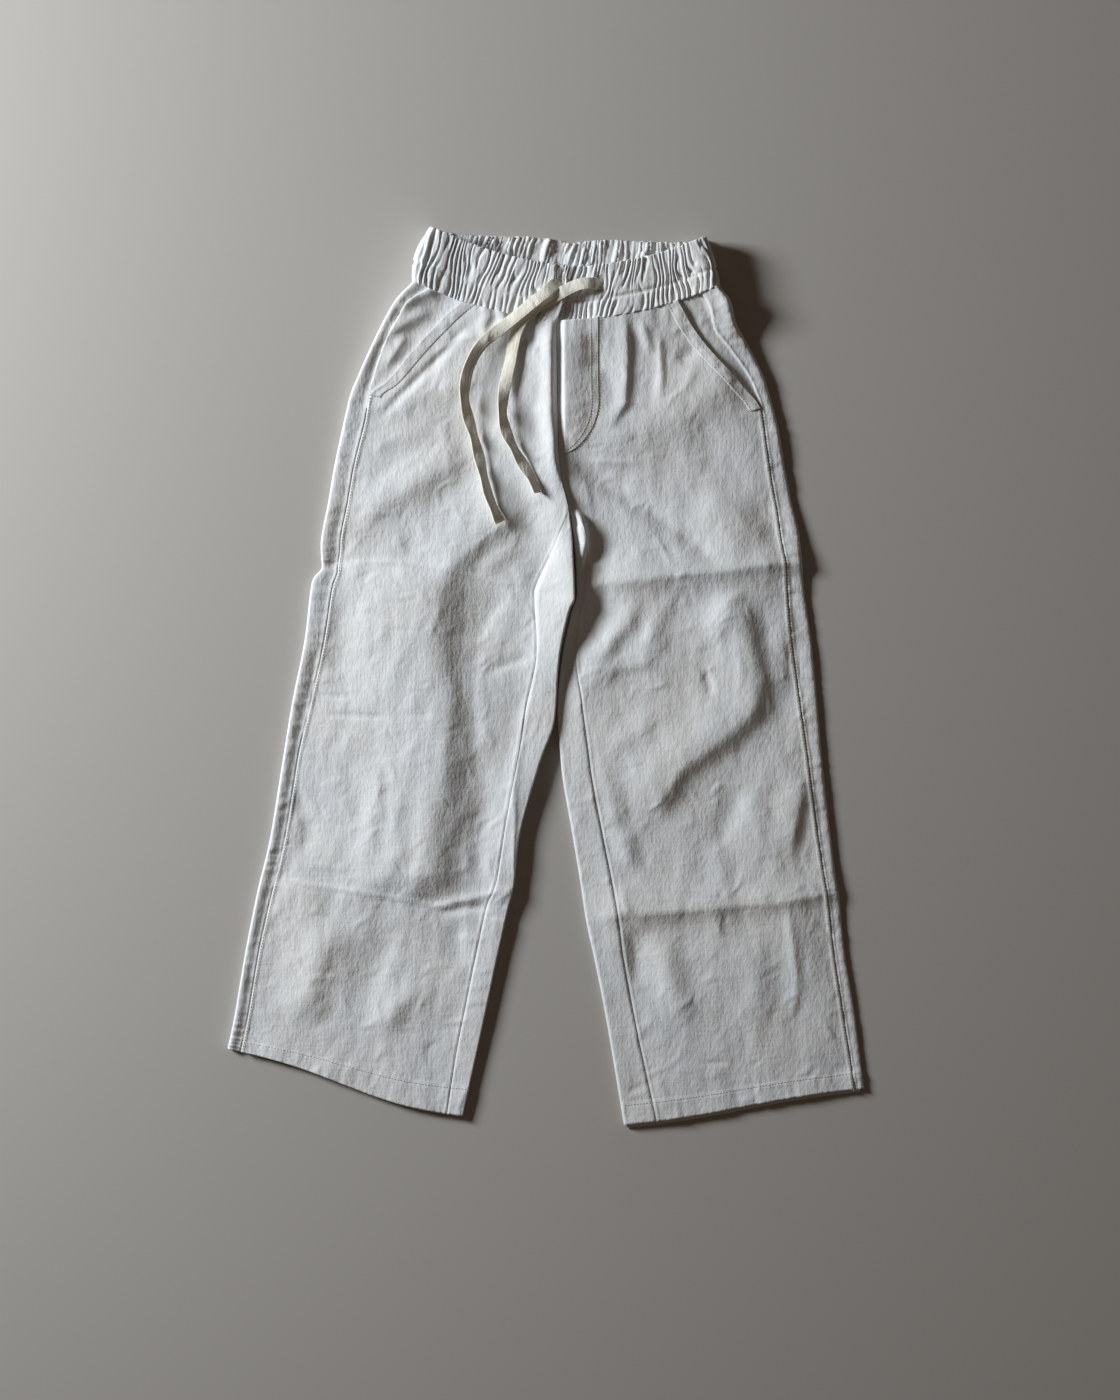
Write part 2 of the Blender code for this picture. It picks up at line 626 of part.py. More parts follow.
def main():
    for item in list(bpy.data.objects):
        bpy.data.objects.remove(item)
    garment = bpy.data.collections.new("linen_trousers")
    guides = bpy.data.collections.new("guides")
    bpy.context.scene.collection.children.link(garment)
    bpy.context.scene.collection.children.link(guides)
    for side, leg in (("right", RIGHT_LEG), ("left", LEFT_LEG)):
        make_front("front_" + side, leg, garment)
        make_back("back_" + side, leg, garment)
        make_pocket_facing("pocket_facing_" + side, leg, garment)
        make_pocket_band("pocket_band_" + side, leg, garment)
    make_fly(LEFT_LEG, garment)
    make_waistband(garment)
    make_tape("drawstring_right", RIGHT_TAPE, garment)
    make_tape("drawstring_left", LEFT_TAPE, garment)
    make_buttonhole("buttonhole_right", (11.0, 296.0, 17.6), garment)
    make_buttonhole("buttonhole_left", (41.6, 291.0, 17.4), garment)


main()
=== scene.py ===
# %% [markdown]
# # Child's linen trousers, laid flat
#
# The real thing is a pair of wide-leg drawstring trousers in washed, bleached linen. They
# lie front up on a table, so each leg is two layers of cloth with soft folds at its edges.
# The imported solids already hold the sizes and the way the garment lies. This script dresses
# each of them as thin cloth, with the creases, seams, stitches and weave of the real one.

# %% Load the frame
import math
from collections import namedtuple

import bpy
import numpy as np
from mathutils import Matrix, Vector
from mathutils.bvhtree import BVHTree


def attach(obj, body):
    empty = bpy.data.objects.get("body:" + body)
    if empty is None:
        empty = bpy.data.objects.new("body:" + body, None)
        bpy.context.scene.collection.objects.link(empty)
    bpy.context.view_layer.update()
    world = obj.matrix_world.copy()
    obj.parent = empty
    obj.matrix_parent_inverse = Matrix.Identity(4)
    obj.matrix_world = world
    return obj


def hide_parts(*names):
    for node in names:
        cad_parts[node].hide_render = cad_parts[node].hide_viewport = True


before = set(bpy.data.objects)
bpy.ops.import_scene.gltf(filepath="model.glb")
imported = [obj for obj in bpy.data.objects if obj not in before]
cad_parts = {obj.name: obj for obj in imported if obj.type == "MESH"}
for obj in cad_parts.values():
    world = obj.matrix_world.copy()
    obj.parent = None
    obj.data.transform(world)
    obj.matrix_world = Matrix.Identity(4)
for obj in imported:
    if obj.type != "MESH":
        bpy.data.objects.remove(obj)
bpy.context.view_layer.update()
MM = 0.001

# %% [markdown]
# ## How each leg lies
#
# A tailor would describe a leg by measuring across it at many heights. The table does that:
# each row runs from the outer fold of the leg to its inner fold, and says where the seams
# cross it and how high the cloth stands. Reading smooth values between the rows gives the
# whole surface, so every piece and every stitch can be placed on it.

# %% Measurements across the legs, in millimetres
# A row runs from its outer fold (out) to its inner fold or the centre seam (in). sag bends
# it towards the hem, skew turns that into a lazy S, and back_up lifts its centre on the
# back. seam, mouth and inseam are distances along it: side seam and pocket mouth from the
# outer fold, inseam from the inner one. The rises are heights above the table.
Row = namedtuple(
    "Row",
    "name out_x out_y in_x in_y sag skew back_up seam mouth inseam"
    " rise_out rise_mid rise_in",
)

RIGHT_LEG = (
    Row("waist", -99.1, 294.1, 7.5, 263.7, 5.5, 0.0, 16, 13.5, 38.0, 0, 20, 14.5, 15),
    Row("hip_1", -112.0, 281.2, 7.5, 246.6, 4.0, 0.0, 13, 9.5, 37.5, 0, 17.5, 12.5, 13.5),
    Row("hip_2", -127.0, 254.6, 8.0, 224.6, 2.0, 0.0, 9, 9.5, 31.5, 0, 13, 10.5, 12),
    Row("hip_3", -141.3, 223.3, 8.4, 198.6, 0.5, 0.0, 5, 13.0, 22.0, 0, 10, 8.5, 11),
    Row("pocket", -146.2, 211.5, 8.7, 189.0, 0.0, 0.0, 3, 14.5, 14.5, 0, 9, 8, 11),
    Row("hip_4", -151.5, 189.8, 9.0, 169.5, 0.0, 0.0, 1, 16.0, 16.0, 0, 8, 7, 11),
    Row("hip_5", -159.0, 154.5, 11.3, 147.0, 0.0, 0.0, 0, 15.0, 15.0, 0, 6.5, 6, 11),
    Row("crotch", -162.8, 132.0, 16.6, 126.8, 0.0, 0.0, 0, 15.0, 15.0, 0, 6, 5.5, 12),
    Row("thigh", -168.8, 98.2, 19.8, 102.0, 0.0, 0.0, 0, 15.0, 15.0, 12.0, 5.5, 5, 13),
    Row("fold_a", -168.0, 81.8, 21.8, 59.2, 0.0, 0.0, 0, 12.5, 12.5, 31.0, 5.5, 5.2, 13.5),
    Row("fold_b", -174.8, 72.0, 18.0, 49.5, 0.0, 0.0, 0, 16.5, 16.5, 27.0, 5.5, 5.2, 13),
    Row("thigh_2", -180.8, 27.0, 9.8, 10.5, 0.0, 0.0, 0, 15.0, 15.0, 17.5, 5.5, 5, 10),
    Row("knee", -190.5, -21.8, 6.8, -31.5, 0.0, 0.0, 0, 14.0, 14.0, 23.0, 5.5, 5, 8),
    Row("knee_2", -197.2, -63.0, -4.5, -65.2, 0.0, 0.0, 0, 11.5, 11.5, 17.5, 5.5, 5, 8),
    Row("calf", -207.0, -123.0, -20.2, -123.0, 0.0, 0.0, 0, 11.5, 11.5, 12.0, 5, 4.5, 7.5),
    Row("calf_2", -211.5, -142.5, -24.0, -157.5, 0.0, 0.0, 0, 11.5, 11.5, 14.0, 5, 5, 7.5),
    Row("fold_c", -214.5, -153.8, -28.5, -175.5, 0.0, 0.0, 0, 11.5, 11.5, 16.5, 5, 5.5, 7),
    Row("shin", -225.0, -205.5, -36.0, -209.2, 0.0, 0.0, 0, 10.5, 10.5, 16.5, 5, 4.5, 6),
    Row("ankle", -234.0, -258.0, -48.8, -269.2, 1.0, 1.0, 0, 10.5, 10.5, 16.0, 4.8, 4.3, 5.5),
    Row("hem", -238.5, -279.0, -62.2, -329.6, 2.0, 3.0, 0, 10.5, 10.5, 12.5, 4.2, 4, 4.8),
)

LEFT_LEG = (
    Row("waist", 129.7, 290.4, 7.5, 263.7, 5.5, 0.0, 16, 14.0, 31.8, 0, 20, 14.5, 12),
    Row("hip_1", 138.0, 279.7, 7.5, 246.6, 4.0, 0.0, 13, 16.5, 34.0, 0, 17.5, 12.5, 10.5),
    Row("hip_2", 142.0, 265.0, 7.7, 226.8, 3.0, 0.0, 9, 17.0, 29.5, 0, 13, 10.5, 9.5),
    Row("hip_3", 150.4, 249.5, 8.2, 209.8, 2.0, 0.0, 6, 14.5, 26.5, 0, 11.5, 9.5, 9),
    Row("hip_4", 163.5, 223.5, 8.7, 188.2, 1.0, 0.0, 3, 11.0, 18.5, 0, 10, 8.5, 8.5),
    Row("pocket", 170.2, 201.0, 8.9, 173.2, 0.0, 0.0, 1, 9.5, 9.5, 0, 9, 8, 8),
    Row("hip_5", 174.0, 186.0, 9.3, 163.5, 0.0, 0.0, 0, 11.0, 11.0, 0, 8.5, 7.5, 8),
    Row("hip_6", 180.0, 150.8, 12.3, 141.0, 0.0, 0.0, 0, 12.0, 12.0, 0, 7, 6.2, 8),
    Row("crotch", 184.5, 128.2, 16.6, 126.8, 0.0, 0.0, 0, 12.5, 12.5, 0, 6.5, 5.8, 7.5),
    Row("thigh", 189.8, 105.8, 20.8, 102.0, 0.0, 0.0, 0, 14.5, 14.5, 9.0, 6, 5.5, 8),
    Row("fold_a", 192.0, 82.5, 23.0, 62.0, 0.0, 0.0, 0, 12.5, 12.5, 6.0, 6, 5.5, 5.5),
    Row("fold_b", 193.5, 64.5, 19.3, 48.0, 0.0, 0.0, 0, 13.0, 13.0, 6.0, 6, 5.5, 5.5),
    Row("thigh_2", 198.8, 27.0, 11.6, 10.5, 0.0, 0.0, 0, 15.0, 15.0, 11.0, 5.8, 5.2, 5.2),
    Row("knee", 203.2, -18.0, 8.6, -23.3, 0.0, 0.0, 0, 13.5, 13.5, 19.0, 5.8, 5, 5.2),
    Row("knee_2", 207.0, -63.0, 11.2, -66.0, 0.0, 0.0, 0, 11.0, 11.0, 22.0, 5.8, 5, 5.5),
    Row("calf", 213.8, -123.0, 19.5, -117.0, 0.0, 0.0, 0, 10.0, 10.0, 23.0, 5.5, 4.8, 5.5),
    Row("calf_2", 217.5, -153.0, 25.5, -153.0, 0.0, 0.0, 0, 9.0, 9.0, 24.0, 5.5, 4.8, 5.5),
    Row("fold_c", 219.8, -165.8, 30.0, -183.0, 0.0, 0.0, 0, 9.0, 9.0, 24.5, 5.5, 5.2, 5.5),
    Row("shin", 223.5, -204.0, 36.8, -214.5, 0.0, 0.0, 0, 8.5, 8.5, 22.0, 5.2, 4.8, 5.2),
    Row("ankle", 230.2, -245.2, 45.0, -256.5, 0.0, 0.4, 0, 9.0, 9.0, 21.5, 5, 4.5, 5),
    Row("hem", 238.5, -309.0, 58.5, -336.8, 0.0, 1.2, 0, 7.5, 7.5, 25.0, 4.5, 4, 4.6),
)

# The waistband's upper edge, as one more row for each side
RIGHT_RIM = Row("rim", -86.3, 334.8, 19.5, 304.8, 5.0, 0.0, 19, 0, 0, 0, 21, 17, 17)
LEFT_RIM = Row("rim", 119.2, 327.5, 19.5, 304.8, 5.0, 0.0, 19, 0, 0, 0, 21, 17, 17)

# The centre seam bends towards the crotch: x at each y
CENTRE_LINE = ((263.7, 7.5), (206.0, 8.3), (169.5, 9.0), (147.0, 11.3), (126.8, 16.6))

# %% Reading a leg at any place
EDGE_SPREAD = 34.0  # reach of the slope from an edge fold down to the middle


def eased(share):
    """Share from 0 to 1, smooth at both ends."""
    share = np.clip(share, 0.0, 1.0)
    return share * share * (3 - 2 * share)


def crotch_of(rows):
    """Place of the crotch down a leg, before every place if there is none."""
    names = [row.name for row in rows]
    return names.index("crotch") if "crotch" in names else -1


def smooth_between(values, slopes, at):
    """Values read at places in a table, smooth through its rows with these slopes."""
    k = np.clip(at.astype(int), 0, len(values) - 2)
    u = (at - k)[:, None]
    found = (1 + 2 * u) * (1 - u) ** 2 * values[k] + u * (1 - u) ** 2 * slopes[k]
    return found + u * u * (3 - 2 * u) * values[k + 1] - u * u * (1 - u) * slopes[k + 1]


def rows_at(rows, places):
    """Rows at these places down a leg, smooth through the table with no overshoot."""
    values = np.array([row[1:] for row in rows], float)
    steps = np.diff(values, axis=0)
    before, after = steps[:-1], steps[1:]
    same_way = before * after > 0
    inner = np.where(same_way, 2 * before * after, 0) / np.where(same_way, before + after, 1)
    slopes = np.vstack([steps[:1], inner, steps[-1:]])
    found = smooth_between(values, slopes, places)
    row = Row("", *(column[:, None] for column in found.T))
    ys, xs = zip(*CENTRE_LINE[::-1])
    on_seam = places[:, None] <= crotch_of(rows)
    return row._replace(in_x=np.where(on_seam, np.interp(row.in_y, ys, xs), row.in_x))


def width_of(row):
    """Width of the laid leg along each row."""
    return np.hypot(row.out_x - row.in_x, row.out_y - row.in_y)


def flat_place(row, d, on_back=False):
    """x and y at distance d from the outer fold."""
    s = d / width_of(row)
    sag = row.sag * 4 * s * (1 - s)
    x = row.out_x + (row.in_x - row.out_x) * s
    y = row.out_y + (row.in_y - row.out_y) * s - sag + row.skew * np.sin(2 * np.pi * s)
    if on_back:
        y = y + np.where(row.back_up > 0, row.back_up * eased(s) + sag, 0)
    return x, y


def lie_of(row, d):
    """Height at which the cloth lies, before its creases."""
    z = row.rise_mid + (row.rise_out - row.rise_mid) * (1 - eased(d / EDGE_SPREAD))
    from_inner = (width_of(row) - d) / EDGE_SPREAD
    return z + (row.rise_in - row.rise_mid) * (1 - eased(from_inner))


# %% [markdown]
# ## Creases
#
# Linen keeps every fold it is given. Four kinds show here: lines pressed by folding the
# trousers for storage, long soft folds where a leg is not quite flat, pulls from the fly and
# the crotch, and an all-over crumple from washing. The first three are listed one by one, each
# as a line with a height and its own width on either side. A sharp line has power 1, a soft
# one has power 2. The crumple is smooth random noise, stretched along the leg.

# %% Creases, listed one by one
Crease = namedtuple("Crease", "path height left right power")

RIGHT_CREASES = (
    # The allowances of the centre seam stand up beside it
    Crease(((4, 296), (2, 245), (3, 200), (4, 178)), 1.2, 3.0, 7, 2),
    # Pressed lines: a shallow trough with a steep lower side
    Crease(((-178, 84), (-154, 85), (-112, 82.5), (-80, 78), (-50, 70.5), (-10, 63), (28, 58)),
           -1.0, 7, 2.0, 1.2),
    Crease(((-160, 85), (-112, 84.5), (-80, 80), (-50, 72.5), (-12, 65)), 1.3, 2.4, 3.0, 1.5),
    Crease(((-206, -152), (-128, -164), (-90, -171), (-40, -179)), 1.5, 2.4, 3.0, 1.5),
    Crease(((-225, -150), (-202, -154), (-128, -166), (-90, -173), (-28, -181.5), (-15, -184)),
           -1.2, 12, 2.0, 1.2),
    Crease(((-180, 79), (-152, 84)), -1.8, 3.0, 4.0, 1.5),
    # Pinch at the end of the lower one
    Crease(((-96, -176), (-68, -169), (-43, -163.5), (-22, -156)), 2.1, 2.0, 2.4, 1),
    Crease(((-84, -177), (-60, -174), (-36, -173)), -1.6, 3, 3, 2),
    Crease(((-40, -172), (-22, -156)), 1.5, 2.0, 2.0, 1),
    # Long soft folds of the thigh
    Crease(((-78, 92), (-85, 57), (-87, 29), (-82, 2), (-77, -24), (-79, -63), (-85, -100),
            (-88, -140), (-86, -172)), 7.4, 22, 46, 2),
    Crease(((-53, 34), (-56, -18), (-53, -66)), -1.4, 6, 14, 2),
    Crease(((-26, 64), (-43, 46), (-51, 22)), -1.6, 5, 13, 2),
    Crease(((-50, -50), (-46, -93), (-48, -134)), -1.6, 8, 14, 2),
    Crease(((-14, 132), (-56, 97), (-86, 72)), 4.2, 10, 30, 2),
    Crease(((-52, 74), (-32, 90), (-14, 100)), 1.6, 8, 6, 2),
    Crease(((8, 112), (1, 87), (-12, 60)), -2.4, 3.5, 13, 1.5),
    Crease(((-50, 226), (-82, 212), (-112, 206), (-134, 188)), 1.9, 9, 12, 2),
    Crease(((-84, 184), (-113, 177), (-142, 170)), 1.1, 8, 9, 2),
    Crease(((-52, 168), (-82, 154), (-103, 141), (-128, 126), (-148, 114)), 3.6, 11, 16, 2),
    Crease(((-12, 214), (-8, 186), (-4, 160)), -1.4, 7, 7, 2),
    Crease(((-30, 226), (-16, 246), (-4, 262)), -2.2, 8, 7, 2),
    # Beside the side seam and down the calf
    Crease(((-147, 72), (-151, 27), (-157, -14)), -1.5, 13, 9, 2),
    Crease(((-185, -82), (-179, -115), (-181, -145)), -1.7, 10, 6, 2),
    Crease(((-112, -80), (-110, -130), (-129, -168)), 1.4, 7, 10, 2),
    Crease(((-119, -64), (-121, -98)), -1.0, 5, 4, 2),
    Crease(((-124, -60), (-128, -100), (-140, -150)), 1.3, 10, 12, 2),
    # Shin
    Crease(((-156, -176), (-172, -220), (-188, -264)), 3.6, 15, 17, 2),
    Crease(((-86, -226), (-110, -247), (-132, -272)), 2.2, 9, 10, 2),
    Crease(((-66, -180), (-66, -224)), -1.6, 6, 8, 2),
    Crease(((-110, -180), (-124, -214), (-138, -246)), -1.5, 9, 12, 2),
    # Short creases
    Crease(((-174, -13), (-144, -16.5)), -1.3, 1.4, 1.6, 1),
    Crease(((-172, -28), (-112, -31)), -1.4, 1.4, 1.7, 1),
    Crease(((-116, -31), (-76, -27)), -0.5, 1.5, 1.5, 1),
    Crease(((-131, 40), (-102, 36)), 0.6, 1.5, 1.5, 1),
    Crease(((-52, 0), (-30, 8), (-6, 17)), -1.6, 6, 4, 1.5),
    Crease(((-20, 28), (-9, 17), (8, 8)), 1.1, 1.6, 2.2, 1),
    # The inner thigh stands up towards the other leg
    Crease(((14, 112), (21, 84), (24, 58), (18, 22), (10, -14)), 2.6, 5, 12, 2),
    # Ridge of the inner thigh, and the centre seam's raised edge
    Crease(((-14, -10), (-20, -54), (-24, -84), (-23, -106), (-25, -158)), 1.6, 2.0, 5, 1),
    Crease(((4, 270), (4, 200), (6, 160), (12, 136)), 3.2, 2.5, 6, 2),
    # Below the waistband and beside the pocket
    Crease(((-52, 268), (-77, 241), (-105, 213), (-130, 187)), -1.8, 3.5, 3, 2),
    Crease(((-47, 286), (-43, 268), (-51, 252)), 1.9, 3.5, 5, 2),
    Crease(((-38, 282), (-31, 266), (-38, 250)), 1.6, 3.5, 4, 2),
    Crease(((-92, 234), (-65, 252), (-50, 253), (-26, 266)), 1.5, 2.5, 4, 1.6),
    Crease(((-20, 274), (-14, 250), (-16, 230)), 1.4, 3.5, 5, 2),
    # Pleats of the cloth behind the pocket mouth
    Crease(((-127, 250), (-102, 264), (-82, 274)), 2.8, 7, 3.5, 1.6),
    Crease(((-121, 229), (-109, 247), (-101, 257)), 2.6, 5, 3.5, 1.6),
    Crease(((-116, 271), (-94, 283), (-72, 291)), 2.6, 6, 3.5, 1.6),
)

LEFT_CREASES = (
    # The fly slopes away from its fold
    Crease(((14.5, 288), (13.5, 245), (14.5, 205), (15, 180)), 2.4, 17, 3.5, 2),
    # Pressed lines: a ridge with a shaded lower side
    Crease(((14, 62), (43, 69), (91, 74.5), (131, 78), (158, 82), (188, 85), (210, 87)),
           5.0, 20, 9.5, 1.25),
    Crease(((30, -184), (58, -178), (102, -176), (133, -172.5), (177, -169), (204, -164),
            (228, -160)), 3.6, 18, 7, 1.4),
    # The curved fold over the knee and what runs into it
    Crease(((138, 66), (147, 36), (153, 14), (158, -4), (156, -20), (142, -38), (116, -57),
            (99, -69), (76, -108)), 5.0, 10, 26, 2),
    Crease(((146, 72), (132, 46), (127, 18)), 2.0, 7, 10, 2),
    Crease(((119, 8), (124, -18)), -1.4, 3, 3, 2),
    Crease(((180, 60), (176, 20), (178, -20)), 1.4, 8, 10, 2),
    Crease(((192, -70), (190, -88), (184, -124), (176, -142)), 2.4, 5, 12, 2),
    Crease(((148, -80), (136, -110), (122, -136)), -1.6, 7, 10, 2),
    Crease(((162, -60), (158, -100), (160, -140)), 1.2, 8, 9, 2),
    Crease(((60, -110), (66, -150)), 1.4, 6, 8, 2),
    # Pulls from the fly and across the hip
    Crease(((14, 164), (51, 140), (73, 126), (93, 114), (116, 97), (132, 78)), -3.0, 10, 7, 2),
    Crease(((30, 176), (82, 188), (120, 211), (150, 228)), 3.0, 20, 18, 2),
    Crease(((108, 136), (144, 118), (160, 94)), 2.6, 12, 20, 2),
    Crease(((152, 140), (164, 118), (176, 88)), -1.8, 8, 10, 2),
    Crease(((78, 112), (98, 76)), 0.9, 1.6, 1.8, 1),
    Crease(((24, 162), (50, 160), (76, 160)), 1.0, 2.0, 4, 1.5),
    # Between the pressed lines, beside the inseam
    Crease(((74, 64), (59, 38), (43, 18), (28, 0)), 2.6, 7, 10, 2),
    Crease(((92, 62), (80, 36), (74, 10)), 1.4, 7, 8, 2),
    Crease(((24, -10), (52, 6), (90, 12)), 2.0, 10, 5, 2),
    Crease(((40, -60), (70, -40), (96, -20)), 1.3, 9, 8, 2),
    Crease(((36, -50), (52, -100), (60, -150)), 1.0, 8, 8, 2),
    # Below the lower pressed line
    Crease(((65, -186), (70, -236)), -2.0, 9, 5, 2),
    Crease(((84, -188), (90, -206), (97, -236), (116, -264)), 2.6, 9, 12, 2),
    Crease(((150, -190), (156, -230), (150, -270)), 1.2, 9, 9, 2),
    Crease(((180, -162), (184, -194), (188, -228), (184, -264)), 1.8, 4, 6, 1.4),
    Crease(((55, -162), (63, -180)), 1.2, 2, 2, 1),
    Crease(((113, -290), (138, -289)), -1.2, 1.5, 1.5, 1),
    Crease(((60, -313), (75, -305)), -1.3, 1.6, 2.2, 1),
    # Low cloth in the shade of the other thigh
    Crease(((34, 112), (37, 90), (38, 66), (34, 40), (28, 10)), -3.6, 13, 13, 2),
    # The lip of cloth beside the crotch, and the hollow inside it
    Crease(((16.5, 130), (26.5, 118), (29.5, 107), (29.8, 98), (27, 86), (23.5, 74)),
           6.0, 2.0, 5.5, 2),
    Crease(((17, 126), (22, 116), (25, 108)), -2.0, 2.4, 2.0, 2),
    # Fly, pocket and waist
    Crease(((14, 275), (14, 200), (14, 166)), 3.0, 24, 3, 2),
    Crease(((59, 276), (61, 237), (59, 204), (44, 180)), 3.0, 3.2, 9, 1.6),
    Crease(((31, 256), (36, 240), (34, 222)), -1.8, 8, 9, 2),
    Crease(((70, 268), (79, 238)), 1.6, 3.5, 4, 2),
    Crease(((85, 262), (86.5, 222), (84, 202)), 1.7, 2.6, 3.2, 1.6),
    Crease(((114, 248), (98, 232)), -1.7, 5, 5, 2),
    Crease(((112, 234), (102, 208)), 1.2, 4, 4, 2),
    Crease(((128, 296), (137, 272), (144, 252)), 2.6, 3.0, 5, 2),
    Crease(((112, 292), (120, 272), (132, 250)), -1.4, 4, 4, 2),
)

Swell = namedtuple("Swell", "height across along seed")

CRUMPLE = (
    Swell(1.30, 52, 95, 3),
    Swell(0.75, 23, 50, 5),
    Swell(0.38, 10.5, 24, 8),
    Swell(0.13, 5.2, 9, 13),
)

# The edges of the cloth lie lower than those of the solids: sink_out is the share that the
# outer one loses, and sink_in the millimetres that the inner one does
Leg = namedtuple(
    "Leg", "name rows rim creases lean seed hem_lift roll_out roll_in sink_out sink_in"
)

RIGHT = Leg("right", RIGHT_LEG, RIGHT_RIM, RIGHT_CREASES, 0.17, 0, 0.8, 1.9, 0.9, 0.1, 0.3)
LEFT = Leg("left", LEFT_LEG, LEFT_RIM, LEFT_CREASES, -0.13, 40, 2.4, 3.4, 2.4, 0.45, 1.6)
LEGS = (RIGHT, LEFT)


# %% Height of the creases
def grain(x, y, seed):
    """Smooth random heights, about -1 to 1, that swell once in each unit."""
    cell_x, cell_y = np.floor(x).astype(np.int64), np.floor(y).astype(np.int64)
    in_x, in_y = x - cell_x, y - cell_y
    corners = []
    for step_x, step_y in ((0, 0), (1, 0), (0, 1), (1, 1)):
        mixed = (cell_x + step_x) * 374761393 + (cell_y + step_y) * 668265263 + seed * 97477
        mixed = (mixed ^ (mixed >> 13)) * 1274126177 & 0x7FFFFFFF
        angle = (mixed ^ (mixed >> 11)) % 65536 / 65536 * 2 * np.pi
        corners.append(np.cos(angle) * (in_x - step_x) + np.sin(angle) * (in_y - step_y))
    across, along = eased(in_x), eased(in_y)
    low = corners[0] + (corners[1] - corners[0]) * across
    high = corners[2] + (corners[3] - corners[2]) * across
    return 1.5 * (low + (high - low) * along)


def crease_height(crease, x, y):
    """Height that one crease adds at each place."""
    path = np.array(crease.path, float)
    steps = np.diff(path, axis=0)
    lengths = np.hypot(*steps.T)
    total = lengths.sum()
    nearest = np.full(x.shape, np.inf)
    side, along = np.zeros(x.shape), np.zeros(x.shape)
    run = 0.0
    for (start_x, start_y), (step_x, step_y), length in zip(path, steps, lengths):
        share = ((x - start_x) * step_x + (y - start_y) * step_y) / length**2
        share = np.clip(share, 0, 1)
        off_x, off_y = x - start_x - share * step_x, y - start_y - share * step_y
        distance = np.hypot(off_x, off_y)
        closer = distance < nearest
        nearest = np.where(closer, distance, nearest)
        side = np.where(closer, step_x * off_y - step_y * off_x, side)
        along = np.where(closer, run + share * length, along)
        run += length
    fade = min(0.35 * total, 26.0)
    ends = eased(along / fade) * eased((total - along) / fade)
    width = np.where(side > 0, crease.left, crease.right)
    return crease.height * ends * np.exp(-((nearest / width) ** crease.power))


def crumple_height(leg, x, y):
    """All-over crumple of washed linen."""
    across = x * math.cos(leg.lean) - y * math.sin(leg.lean)
    along = x * math.sin(leg.lean) + y * math.cos(leg.lean)
    total = np.zeros(x.shape)
    for swell in CRUMPLE:
        warp = 0.35 * grain(across / swell.along, along / swell.along, swell.seed + 90)
        field = grain(across / swell.across + warp, along / swell.along, swell.seed + leg.seed)
        total += swell.height * field
    return total


# %% [markdown]
# ## Cloth as grids
#
# Each cut piece is a grid of points on the laid surface, with rows across the leg and
# columns down it, close enough for the creases to show. The columns crowd together at the
# seams, where the folded cloth makes a step under a millimetre high. Solidify then gives the
# grid a wall under a millimetre thick, inwards, so the outer face stays where it was placed.

# %% The upper surface of a leg
ROW_STEP = 1.9
HEM = 15.0  # depth of the turned hem
HEM_ROW_STEP = 0.9
LOWEST = 2.2  # the upper layer never sinks onto the layer below
SEAM_RISE = 0.45  # the cloth is thicker where its allowances are folded under
RIDGE_PLACE, RIDGE_REACH, DITCH_REACH = 1.6, 0.9, 0.6  # across a seam, from its thread
HEM_RISE, HEM_PUCKER, HEM_DITCH = 0.45, 0.45, 0.3
HEM_STITCHING = HEM - 1.4  # from the edge up to the stitch row
CALM_EDGE = 16.0  # the crumple is calmer this near to an edge fold
WAIST_RIPPLE = 0.6  # small ripples that die out just below the waistband


def down_the_leg(leg):
    """Places, and their distances to the hem, close enough together to show its folds."""
    places = np.linspace(0, len(leg.rows) - 1, 4000)
    row = rows_at(leg.rows, places)
    middle = np.hstack([row.out_x + row.in_x, row.out_y + row.in_y]) / 2
    run = np.concatenate([[0], np.cumsum(np.hypot(*np.diff(middle, axis=0).T))])
    return places, run[-1] - run


def to_hem(leg, places):
    """Distance to the hem, along the middle of the leg."""
    return np.interp(places, *down_the_leg(leg))


def grid_places(leg, first=0.0, last=None):
    """Places of a piece's rows, closer together over the hem."""
    places, left = down_the_leg(leg)
    rows = np.arange(0, HEM + 5, HEM_ROW_STEP)
    rows = np.concatenate([rows, np.arange(HEM + 5, left[0], ROW_STEP), left[:1]])
    found = np.interp(-rows[::-1], -left, places)
    last = len(leg.rows) - 1 if last is None else last
    inside = found[(found > first + 0.02) & (found < last - 0.02)]
    return np.concatenate([[first], inside, [last]])


def seam_rise(distance):
    """Ridge beside a seam, with the ditch along its thread."""
    ridge = np.exp(-(((distance - RIDGE_PLACE) / RIDGE_REACH) ** 2))
    return SEAM_RISE * (ridge - 0.7 * np.exp(-((distance / DITCH_REACH) ** 2)))


def hem_rise(left, d, seed):
    """Turned hem: a step up to its stitching, and small puckers below that."""
    step = HEM_RISE * (1 - eased((left - HEM + 0.6) / 1.2))
    pucker = HEM_PUCKER * grain(d / 4.2, left / 22, seed + 17) * (1 - eased((left - 11) / 7))
    ditch = -HEM_DITCH * np.exp(-(((left - HEM_STITCHING) / 0.9) ** 2))
    return step + pucker + ditch


def sunk(leg, row, places):
    """A row with its edges lower, from the hips down."""
    low = eased((places[:, None] - 1) / 3)
    rise_in = row.rise_in - leg.sink_in * eased((places[:, None] - 9) / 3)
    return row._replace(rise_out=row.rise_out * (1 - leg.sink_out * low), rise_in=rise_in)


